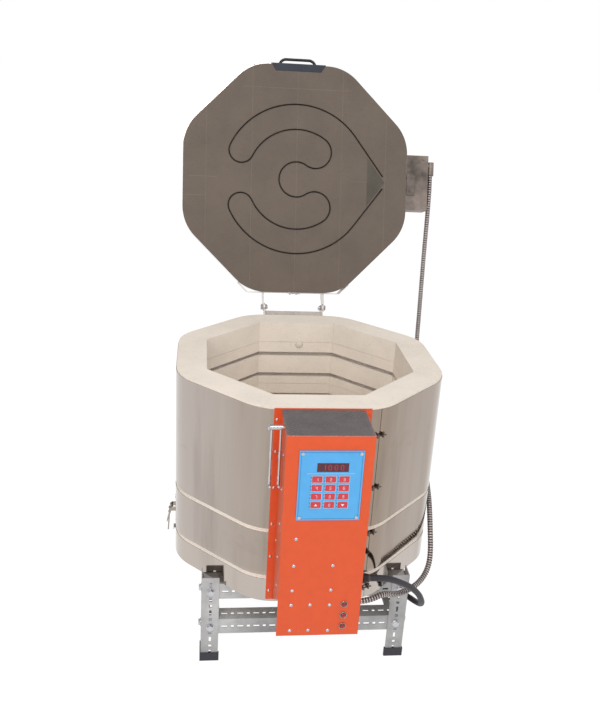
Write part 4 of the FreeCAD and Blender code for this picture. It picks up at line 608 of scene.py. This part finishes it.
# Wall elements: wound wire in the grooves, with straight tails through the front wall
COIL_APOTHEM = CHAMBER_APOTHEM + 0.007
CORNER = COIL_APOTHEM / math.cos(HALF_TURN)
LOOP = [(CORNER * math.cos(math.radians(-112.5 - 45 * k)), CORNER * math.sin(math.radians(-112.5 - 45 * k)))
        for k in range(8)]
TAIL_X, JUMPER_X, TAIL_END = -0.027, 0.025, BACK_PLATE_Y - 0.022
ROW_DROPS = (0.0315, 0.087)
COIL_WIND_R, COIL_PITCH, WIRE_R = 0.0032, 0.0058, 0.0008
coils = []
for course in COURSE_TOPS:
    rows = [course - drop - 0.001 + SEAT_GAP for drop in ROW_DROPS]
    way = [Vector((TAIL_X + 0.002, -COIL_APOTHEM, rows[0]))]
    way += [Vector((x, y, rows[0])) for x, y in LOOP]
    way += [Vector((JUMPER_X, -COIL_APOTHEM, rows[0])), Vector((JUMPER_X, -COIL_APOTHEM, rows[1]))]
    way += [Vector((x, y, rows[1])) for x, y in reversed(LOOP)]
    way.append(Vector((TAIL_X + 0.002, -COIL_APOTHEM, rows[1])))
    coils.append(helix("coil", way, COIL_WIND_R, COIL_PITCH, WIRE_R, MATS["element_wire"]))
    for row in rows:
        z = row + 0.0007
        line = [Vector((TAIL_X + 0.004, -COIL_APOTHEM + 0.001, row)),
                Vector((TAIL_X, -COIL_APOTHEM - 0.004, z)),
                Vector((TAIL_X, -COIL_APOTHEM - 0.012, z)), Vector((TAIL_X, TAIL_END, z))]
        coils.append(tube("tail", line, [0.0019] * 4, 8, MATS["element_wire"]))
wall_wire = join("wall_element_coils", coils)
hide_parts("wall_elements")
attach(wall_wire, "root")


# Lid element: wound wire in the meander groove
def arc(cx, cy, r, a0, a1):
    """Points of an arc between two angles in degrees."""
    n = max(8, int(abs(a1 - a0) / 3))
    angles = [math.radians(a0 + (a1 - a0) * k / n) for k in range(n + 1)]
    return [(cx + r * math.cos(a), cy + r * math.sin(a)) for a in angles]


R_OUT, R_MID, R_IN = 0.187, 0.125, 0.044
LEAN, LEFT_A, RIGHT_A, LEAD_HALF = 36.87, 154.0, 55.6, 0.015
LID_COIL_Z = LID_Z + 0.0039
LID_WIND_R, LID_PITCH, LID_WIRE_R = 0.0022, 0.0026, 0.0005
lead_x = R_OUT / math.cos(math.radians(LEAN)) - LEAD_HALF * math.tan(math.radians(LEAN))
half = [(lead_x, LEAD_HALF)] + arc(0, 0, R_OUT, LEAN, LEFT_A)
mid_r, turn_r = (R_OUT + R_MID) / 2, (R_OUT - R_MID) / 2
la, ra = math.radians(LEFT_A), math.radians(RIGHT_A)
half += arc(mid_r * math.cos(la), mid_r * math.sin(la), turn_r, LEFT_A, LEFT_A + 180)[1:]
half += arc(0, 0, R_MID, LEFT_A, RIGHT_A)[1:]
mid_r, turn_r = (R_MID + R_IN) / 2, (R_MID - R_IN) / 2
half += arc(mid_r * math.cos(ra), mid_r * math.sin(ra), turn_r, RIGHT_A, RIGHT_A - 180)[1:]
meander = half + arc(0, 0, R_IN, RIGHT_A, 360 - RIGHT_A)[1:-1] + [(x, -y) for x, y in reversed(half)]
lid_line = [opened((x, y, LID_COIL_Z)) for x, y in meander]
lid_bits = [helix("coil", lid_line, LID_WIND_R, LID_PITCH, LID_WIRE_R, LID_WIRE_PAINTED_SHADE)]
for side in (-1, 1):
    ends = [opened((x, side * LEAD_HALF, LID_COIL_Z))
            for x in (lead_x - 0.004, lead_x + 0.02, BODY_APOTHEM + 0.018)]
    lid_bits.append(tube("lead", ends, [0.0016] * 3, 8, LID_WIRE_PAINTED_SHADE))
lid_wire_painted_shade = join("lid_element_coil", lid_bits)
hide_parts("lid_element")
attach(lid_wire_painted_shade, "lid")


# The lid's groove is narrower at its mouth than the wound wire, which holds the wire in.
def ribbon(name, path, inner, outer, z0, z1, mat):
    """Two strips along a plan line in the closed lid's frame, between two offsets on either side."""
    pts = even([Vector((x, y, 0)) for x, y in path], 0.0022)
    verts, faces = [], []
    for side in (-1, 1):
        start = len(verts)
        for (t, n, b), p in zip(frames(pts), pts):
            out = Vector((-t.y, t.x, 0)).normalized() * side
            for off, z in ((inner, z0), (outer, z0), (outer, z1), (inner, z1)):
                q = p + out * off
                verts.append(opened((q.x, q.y, z)))
        for k in range(len(pts) - 1):
            a, c = start + 4 * k, start + 4 * k + 4
            for e in range(4):
                e2 = (e + 1) % 4
                quad = (a + e, a + e2, c + e2, c + e)
                faces.append(quad if side == 1 else quad[::-1])
        for a in (start, start + 4 * (len(pts) - 1)):
            faces.append((a, a + 1, a + 2, a + 3))
    return face_outward(add_mesh(name, verts, faces, mat, False))


MOUTH_IN, MOUTH_OUT = 0.0018, 0.0036
mouth = ribbon("lid_groove_mouth", meander, MOUTH_IN, MOUTH_OUT, LID_Z + 0.00002, LID_Z + 0.0011, LID_BRICK_PAINTED_SHADE)
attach(mouth, "lid")


def lid_boxes(name, spans, mat):
    """Boxes given in the closed lid's frame."""
    ob = boxes(name, spans, mat)
    for v in ob.data.vertices:
        v.co = opened(v.co)
    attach(ob, "lid")
    return ob


jx, jz, top = BODY_APOTHEM + 0.0006, LID_Z + 0.0008, LID_Z + 0.0052
pocket = lid_boxes("lead_pocket", [(jx, jx + 0.0215, -0.0275, 0.0275, jz, jz + 0.0009),
                                   (jx + 0.0205, jx + 0.0215, -0.0275, 0.0275, jz + 0.0009, top),
                                   (jx, jx + 0.0205, -0.0275, -0.0265, jz + 0.0009, top),
                                   (jx, jx + 0.0205, 0.0265, 0.0275, jz + 0.0009, top)], MATS["galvanised"])
band_y, band_z = 0.28585, LID_Z + 0.0026
lugs = [(x, x + 0.004, band_y, band_y + 0.006, band_z, band_z + 0.005) for x in (-0.012, 0.005)]
screw = (-0.0145, 0.017, band_y + 0.0022, band_y + 0.0042, band_z + 0.0014, band_z + 0.0034)
band_clamp = lid_boxes("lid_band_clamp", lugs + [screw], MATS["clamp_steel"])

# The jackets' ends lap under the seam, and small screw clamps draw them together.
SEAM_TURN = Matrix.Rotation(HALF_TURN, 4, "Z")
LAP_HALF_W, LAP_Y0, LAP_Y1 = 0.006, -CORNER_OUT + 0.00092, -CORNER_OUT + 0.00106
LAP_HEIGHTS = ((0.3725, 0.6355), (0.2615, 0.3635), (0.199, 0.2525))
lap = boxes("jacket_laps", [(-LAP_HALF_W, LAP_HALF_W, LAP_Y0, LAP_Y1, z0, z1) for z0, z1 in LAP_HEIGHTS],
            MATS["jacket"])
lap.data.transform(SEAM_TURN)
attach(lap, "root")
TARNISHED = plain("tarnished_steel", "6f675f", 0.5, 0.4, 300, 0.0002, 0.25, 0.2)
bits = []
SCREW = [(-0.0105, 0), (-0.0105, 0.0026), (-0.0075, 0.0028), (-0.0074, 0.0014), (0.0135, 0.0014), (0.0135, 0)]
LUGS = ((-0.0072, -0.0052, 0.0065), (0.0052, 0.0072, 0.0065),
        (-0.0115, -0.0050, 0.0008), (0.0050, 0.0115, 0.0008))
LUG_HALF_H = 0.0045
for drop in (0.060, 0.176, 0.282, 0.414):
    z, y = RIM - drop, -CORNER_OUT
    bits.append(boxes("lug", [(x0, x1, y - deep, y, z - LUG_HALF_H, z + LUG_HALF_H) for x0, x1, deep in LUGS],
                      TARNISHED))
    bits.append(lathe("screw", SCREW, (0, y - 0.0042, z), (1, 0, 0), TARNISHED, 12))
clamps = join("jacket_screw_clamps", bits)
clamps.data.transform(SEAM_TURN)
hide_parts("jacket_clamps")
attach(clamps, "root")


# Perforated top of the control box
GRILLE_HALF_W, GRILLE_FRONT_Y, GRILLE_TOP, GRILLE_T, FLANGE_W = 0.0795, -0.397, 0.637, 0.0015, 0.012
HOLE_PITCH, HOLE_HALF = (0.0098, 0.0042), (0.0037, 0.0012)


def perforated(name, x0, x1, y0, y1, z0, z1, pitch, hole, mat):
    """Sheet with staggered rows of long holes; pitch and the holes' half sizes are along X and Y."""
    nx, ny = int((x1 - x0) / pitch[0]), int((y1 - y0) / pitch[1])
    mx, my = (x1 - x0 - nx * pitch[0]) / 2, (y1 - y0 - ny * pitch[1]) / 2
    square = [(1, 0), (1, 1), (0, 1), (-1, 1), (-1, 0), (-1, -1), (0, -1), (1, -1)]
    ring = [(1, 0), (0.86, 0.8), (0, 1), (-0.86, 0.8), (-1, 0), (-0.86, -0.8), (0, -1), (0.86, -0.8)]
    verts, faces, ends = [], [], []
    for j in range(ny):
        low = y0 + my + j * pitch[1]
        cy, odd = low + pitch[1] / 2, j % 2
        if odd:
            ends += [(x0 + mx, x0 + mx + pitch[0] / 2, low, low + pitch[1], z0, z1),
                     (x1 - mx - pitch[0] / 2, x1 - mx, low, low + pitch[1], z0, z1)]
        for i in range(nx - odd):
            cx = x0 + mx + (i + 0.5 + odd / 2) * pitch[0]
            k = len(verts)
            for z in (z1, z0):
                verts += [(cx + sx_ * pitch[0] / 2, cy + sy_ * pitch[1] / 2, z) for sx_, sy_ in square]
                verts += [(cx + u * hole[0], cy + v * hole[1], z) for u, v in ring]
            for q in range(8):
                q2 = (q + 1) % 8
                faces.append((k + q, k + q2, k + 8 + q2, k + 8 + q))
                faces.append((k + 16 + q2, k + 16 + q, k + 24 + q, k + 24 + q2))
                faces.append((k + 8 + q, k + 8 + q2, k + 24 + q2, k + 24 + q))
    sheet = add_mesh(name, verts, faces, mat, False)
    rim = boxes("rim", [(x0, x0 + mx, y0, y1, z0, z1), (x1 - mx, x1, y0, y1, z0, z1),
                        (x0 + mx, x1 - mx, y0, y0 + my, z0, z1), (x0 + mx, x1 - mx, y1 - my, y1, z0, z1),
                        (x0 + FLANGE_W, x1 - FLANGE_W, y0 - GRILLE_T, y0, z0, z1)] + ends, mat)
    return join(name + "_sheet", [sheet, rim])


grille = perforated("top_grille", -GRILLE_HALF_W, GRILLE_HALF_W, GRILLE_FRONT_Y, BACK_PLATE_Y,
                    GRILLE_TOP - GRILLE_T, GRILLE_TOP, HOLE_PITCH, HOLE_HALF, MATS["grey_grille"])
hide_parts("control_top_grille")
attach(grille, "root")
edge_top, edge_y = GRILLE_TOP + 0.0003, FRONT_Y + 0.0015
trim = boxes("bare_sheet_edges", [(-0.081, 0.081, FRONT_Y, edge_y, GRILLE_TOP, edge_top),
                                  (0.0797, 0.081, edge_y, -0.289, GRILLE_TOP, edge_top),
                                  (-0.081, -0.0797, edge_y, -0.289, GRILLE_TOP, edge_top)], MATS["clamp_steel"])
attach(trim, "root")

# Peephole plug with an eased edge and a rounded head
PLUG = [(0, 0), (0, 0.0086), (0.0005, 0.0090), (0.06475, 0.0090), (0.06475, 0.0126), (0.0659, 0.0139),
        (0.0776, 0.0139), (0.07875, 0.0126), (0.07875, 0)]
PEEP_X, PEEP_Z = 0.008, 0.583
plug = lathe("peephole_plug_turned", PLUG, (PEEP_X, CHAMBER_APOTHEM, PEEP_Z), (0, 1, 0), MATS["peephole_ceramic"])
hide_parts("peephole_plug")
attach(plug, "peephole_plug")

# Tapered rubber sleeve over the cord's gland
RIBS, RIB_PITCH, RIB_W, RIB_H, RIB_STEP = 7, 0.0028, 0.0017, 0.0009, 0.0006
sleeve = [(0.0005, 0.0100), (0.0005, 0.0134), (0.0088, 0.0134), (0.0096, 0.0124)]
for k in range(RIBS):
    d, r = 0.0100 + RIB_PITCH * k, 0.0120 - RIB_STEP * k
    sleeve += [(d, r), (d + RIB_W, r), (d + RIB_W, r - RIB_H), (d + RIB_PITCH, r - RIB_H)]
sleeve += [(0.0302, 0.0072), (0.0302, 0.0066)]
relief = lathe("cord_strain_relief", sleeve, (0.081, LEAD_Y, zr(GLAND_DROP)), (1, 0, 0), MATS["cord_rubber"])
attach(relief, "root")

# Bow handle with round shoulders
SHOULDER, GRIP_X, GRIP_Y, GRIP_OUT = 0.017, 0.046, -0.28725, 0.0180
GRIP_Z = LID_Z + 0.03175
FOOT = [(0, 0.0034), (0, 0.0070), (0.0008, 0.0075), (0.0016, 0.0072), (0.0030, 0.0046), (0.0030, 0.0034)]
bow = [(-GRIP_X, 0.0)] + arc(-GRIP_X + SHOULDER, GRIP_OUT - SHOULDER, SHOULDER, 180, 90)
bow += [(-x, y) for x, y in reversed(bow)]
bow_line = [opened((x, GRIP_Y - y, GRIP_Z)) for x, y in bow]
GRIP_R = 0.0035
grip_bits = [tube("bow", bow_line, [GRIP_R] * len(bow_line), 14, MATS["black_grip"])]
for side in (-1, 1):
    foot = lathe("foot", FOOT, (side * GRIP_X, GRIP_Y, GRIP_Z), (0, -1, 0), MATS["black_grip"], 20)
    for v in foot.data.vertices:
        v.co = opened(v.co)
    grip_bits.append(foot)
grip = join("lid_bow_handle", grip_bits)
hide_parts("lid_handle")
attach(grip, "lid")

# Pilot lamps: bright bezels with domed lenses
BEZEL = [(0, 0.0050), (0, 0.0075), (0.0012, 0.0075), (0.0019, 0.0070), (0.0020, 0.0062), (0.0013, 0.0051),
         (0, 0.0050)]
LENS_R, LENS_OUT, LENS_RISE = 0.0049, 0.0016, 0.0030
dome = [(-0.0125, 0.0), (-0.0125, LENS_R), (LENS_OUT, LENS_R)]
dome += [(LENS_OUT + LENS_RISE * math.sin(math.radians(t)), LENS_R * math.cos(math.radians(t)))
         for t in range(10, 91, 10)]
lamps = []
for drop in (0.365, 0.3903, 0.4156):
    spot = (0.0488, FRONT_Y, zr(drop))
    lamps.append(lathe("bezel", BEZEL, spot, (0, -1, 0), MATS["latch_chrome"]))
    lamps.append(lathe("lens", dome, spot, (0, -1, 0), MATS["lamp_red"]))
lamp_set = join("pilot_lamp_set", lamps)
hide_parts("pilot_lamps")
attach(lamp_set, "root")

# Face plate: border line, display digits and key legends as plain strokes
SEGMENTS = {"0": "abcdef", "1": "bc", "2": "abged", "3": "abgcd", "4": "fgbc", "5": "afgcd", "6": "afgedc",
            "7": "abc", "8": "abcdefg", "9": "abcdfg"}


def strokes(digit, x, z, w, h, t):
    """Rectangles of a seven-stroke digit centred on x, z, of width w, height h and stroke t."""
    a, b = w / 2, h / 2
    spans = {"a": (x - a, x + a, z + b - t, z + b), "d": (x - a, x + a, z - b, z - b + t),
             "g": (x - a, x + a, z - t / 2, z + t / 2), "f": (x - a, x - a + t, z, z + b),
             "b": (x + a - t, x + a, z, z + b), "e": (x - a, x - a + t, z - b, z),
             "c": (x + a - t, x + a, z - b, z)}
    return [spans[s] for s in SEGMENTS[digit]]


def glowing(name, colour, strength):
    m, nt, b = shader(name)
    b.inputs["Base Color"].default_value = (*colour, 1)
    b.inputs["Emission Color"].default_value = (*colour, 1)
    b.inputs["Emission Strength"].default_value = strength
    return m


DIGIT_RED = glowing("digit_red", (0.45, 0.03, 0.05), 0.12)
LEGEND = plain("legend_white", "efe6e2", 0.0, 0.5, 600, 0.00005, 0.1, 0.04)
LINE_BLUE = plain("line_blue", "2c6fb0", 0.0, 0.4, 600, 0.00005, 0.1, 0.05)
FACE_Y = FRONT_Y - 0.002
PRINT_Y = FACE_Y - 0.0001
KEY_Y = FACE_Y - 0.0008
KEY_DROPS = (0.0893, 0.107, 0.1248, 0.1425)
KEY_XS = (-0.0214, 0.0037, 0.0287)
key_at = [(x, RIM - drop) for drop in KEY_DROPS for x in KEY_XS]
DIGIT_W, DIGIT_H, DIGIT_T, DIGIT_STEP = 0.0062, 0.0112, 0.0013, 0.0112
digits = []
for n, ch in enumerate("1000"):
    digits += [(x0, x1, FACE_Y - 0.00045, FACE_Y - 0.0003, z0, z1)
               for x0, x1, z0, z1 in strokes(ch, -0.0105 + DIGIT_STEP * n, RIM - 0.065, DIGIT_W, DIGIT_H, DIGIT_T)]
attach(boxes("display_digits", digits, DIGIT_RED), "root")
PLATE_X, PLATE_Z = 0.0031, RIM - 0.1032
x0, x1, z0, z1, w = PLATE_X - 0.0563, PLATE_X + 0.0563, PLATE_Z - 0.0688, PLATE_Z + 0.0688, 0.0008
border = boxes("plate_border", [(x0, x1, PRINT_Y, FACE_Y, z1 - w, z1), (x0, x1, PRINT_Y, FACE_Y, z0, z0 + w),
                                (x0, x0 + w, PRINT_Y, FACE_Y, z0, z1), (x1 - w, x1, PRINT_Y, FACE_Y, z0, z1)],
               LINE_BLUE)
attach(border, "root")
FRAME_HALF_W, FRAME_HALF_H, w = 0.0094, 0.0064, 0.0007
prints = [(PLATE_X - 0.044, PLATE_X + 0.044, PRINT_Y, FACE_Y, RIM - 0.0779, RIM - 0.0774)]
marks = []
for x, z in key_at:
    x0, x1, z0, z1 = x - FRAME_HALF_W, x + FRAME_HALF_W, z - FRAME_HALF_H, z + FRAME_HALF_H
    prints += [(x0 - w, x1 + w, PRINT_Y, FACE_Y, z1, z1 + w), (x0 - w, x1 + w, PRINT_Y, FACE_Y, z0 - w, z0),
               (x0 - w, x0, PRINT_Y, FACE_Y, z0, z1), (x1, x1 + w, PRINT_Y, FACE_Y, z0, z1)]
    marks += [(x0 - 0.0024, x0 - 0.0010, PRINT_Y, FACE_Y, z + off - 0.0012, z + off + 0.0012)
              for off in (-0.0035, 0.0035)]
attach(boxes("plate_lines", prints, LEGEND), "root")
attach(boxes("plate_marks", marks, plain("mark_navy", "22284a", 0.0, 0.5, 600, 0.00005, 0.1, 0.04)), "root")
UP_KEY, DOWN_KEY, ZERO_KEY = 10, 12, 11
for n, (x, z) in enumerate(key_at, 1):
    if n in (UP_KEY, DOWN_KEY):
        s = 1 if n == UP_KEY else -1
        y = KEY_Y - 0.00012
        verts = [(x - 0.0032, y, z - s * 0.002), (x + 0.0032, y, z - s * 0.002), (x, y, z + s * 0.0026)]
        face = (0, 1, 2) if s == 1 else (2, 1, 0)
        mark = add_mesh("legend_%02d" % n, verts, [face], LEGEND, False)
    else:
        rects = strokes("0" if n == ZERO_KEY else str(n), x, z, 0.0034, 0.0062, 0.0008)
        mark = boxes("legend_%02d" % n, [(x0, x1, KEY_Y - 0.00015, KEY_Y + 0.0001, z0, z1)
                                         for x0, x1, z0, z1 in rects], LEGEND)
    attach(mark, "key_%02d" % n)


# Floor, backdrop and light
def stage_material():
    """Matt white floor."""
    m = bpy.data.materials.new("studio_white")
    m.use_nodes = True
    nt = m.node_tree
    nt.nodes.clear()
    out = nt.nodes.new("ShaderNodeOutputMaterial")
    diff = nt.nodes.new("ShaderNodeBsdfDiffuse")
    diff.inputs["Color"].default_value = (0.86, 0.86, 0.86, 1)
    emit = nt.nodes.new("ShaderNodeEmission")
    emit.inputs["Strength"].default_value = 1.12
    path = nt.nodes.new("ShaderNodeLightPath")
    mix = nt.nodes.new("ShaderNodeMixShader")
    either = maths(nt, "MAXIMUM", path.outputs["Is Camera Ray"], path.outputs["Is Glossy Ray"])
    nt.links.new(maths(nt, "MULTIPLY", either, 0.86), mix.inputs["Fac"])
    nt.links.new(diff.outputs[0], mix.inputs[1])
    nt.links.new(emit.outputs[0], mix.inputs[2])
    nt.links.new(mix.outputs[0], out.inputs["Surface"])
    return m


FLOOR = 30
floor = add_mesh("floor", [(-FLOOR, -FLOOR, 0), (FLOOR, -FLOOR, 0), (FLOOR, FLOOR, 0), (-FLOOR, FLOOR, 0)],
                 [(0, 1, 2, 3)], stage_material(), False)

world = bpy.data.worlds.new("studio")
scene.world = world
world.use_nodes = True
wn = world.node_tree
bg = wn.nodes["Background"]
lp = wn.nodes.new("ShaderNodeLightPath")
direct = maths(wn, "MAXIMUM", lp.outputs["Is Camera Ray"], lp.outputs["Is Transmission Ray"])
wn.links.new(span(wn, direct, 0.64, 1.0), bg.inputs["Strength"])
bg.inputs["Color"].default_value = (1, 1, 1, 1)


def lamp(name, place, target, size, power, colour=(1, 1, 1)):
    """Square soft light at a place, turned to its target."""
    data = bpy.data.lights.new(name, "AREA")
    data.size = size
    data.energy = power
    data.color = colour
    ob = bpy.data.objects.new(name, data)
    ob.location = place
    ob.rotation_euler = (Vector(target) - Vector(place)).to_track_quat("-Z", "Y").to_euler()
    scene.collection.objects.link(ob)


lamp("key", (-1.3, -2.9, 2.1), (0, 0, 0.55), 1.4, 25, (1.0, 0.985, 0.965))
lamp("fill", (2.4, -1.6, 1.8), (0, 0, 0.5), 2.0, 9, (0.97, 0.98, 1.0))
lamp("top", (-0.2, -2.2, 3.0), (0, 0.1, 0.5), 1.0, 24)
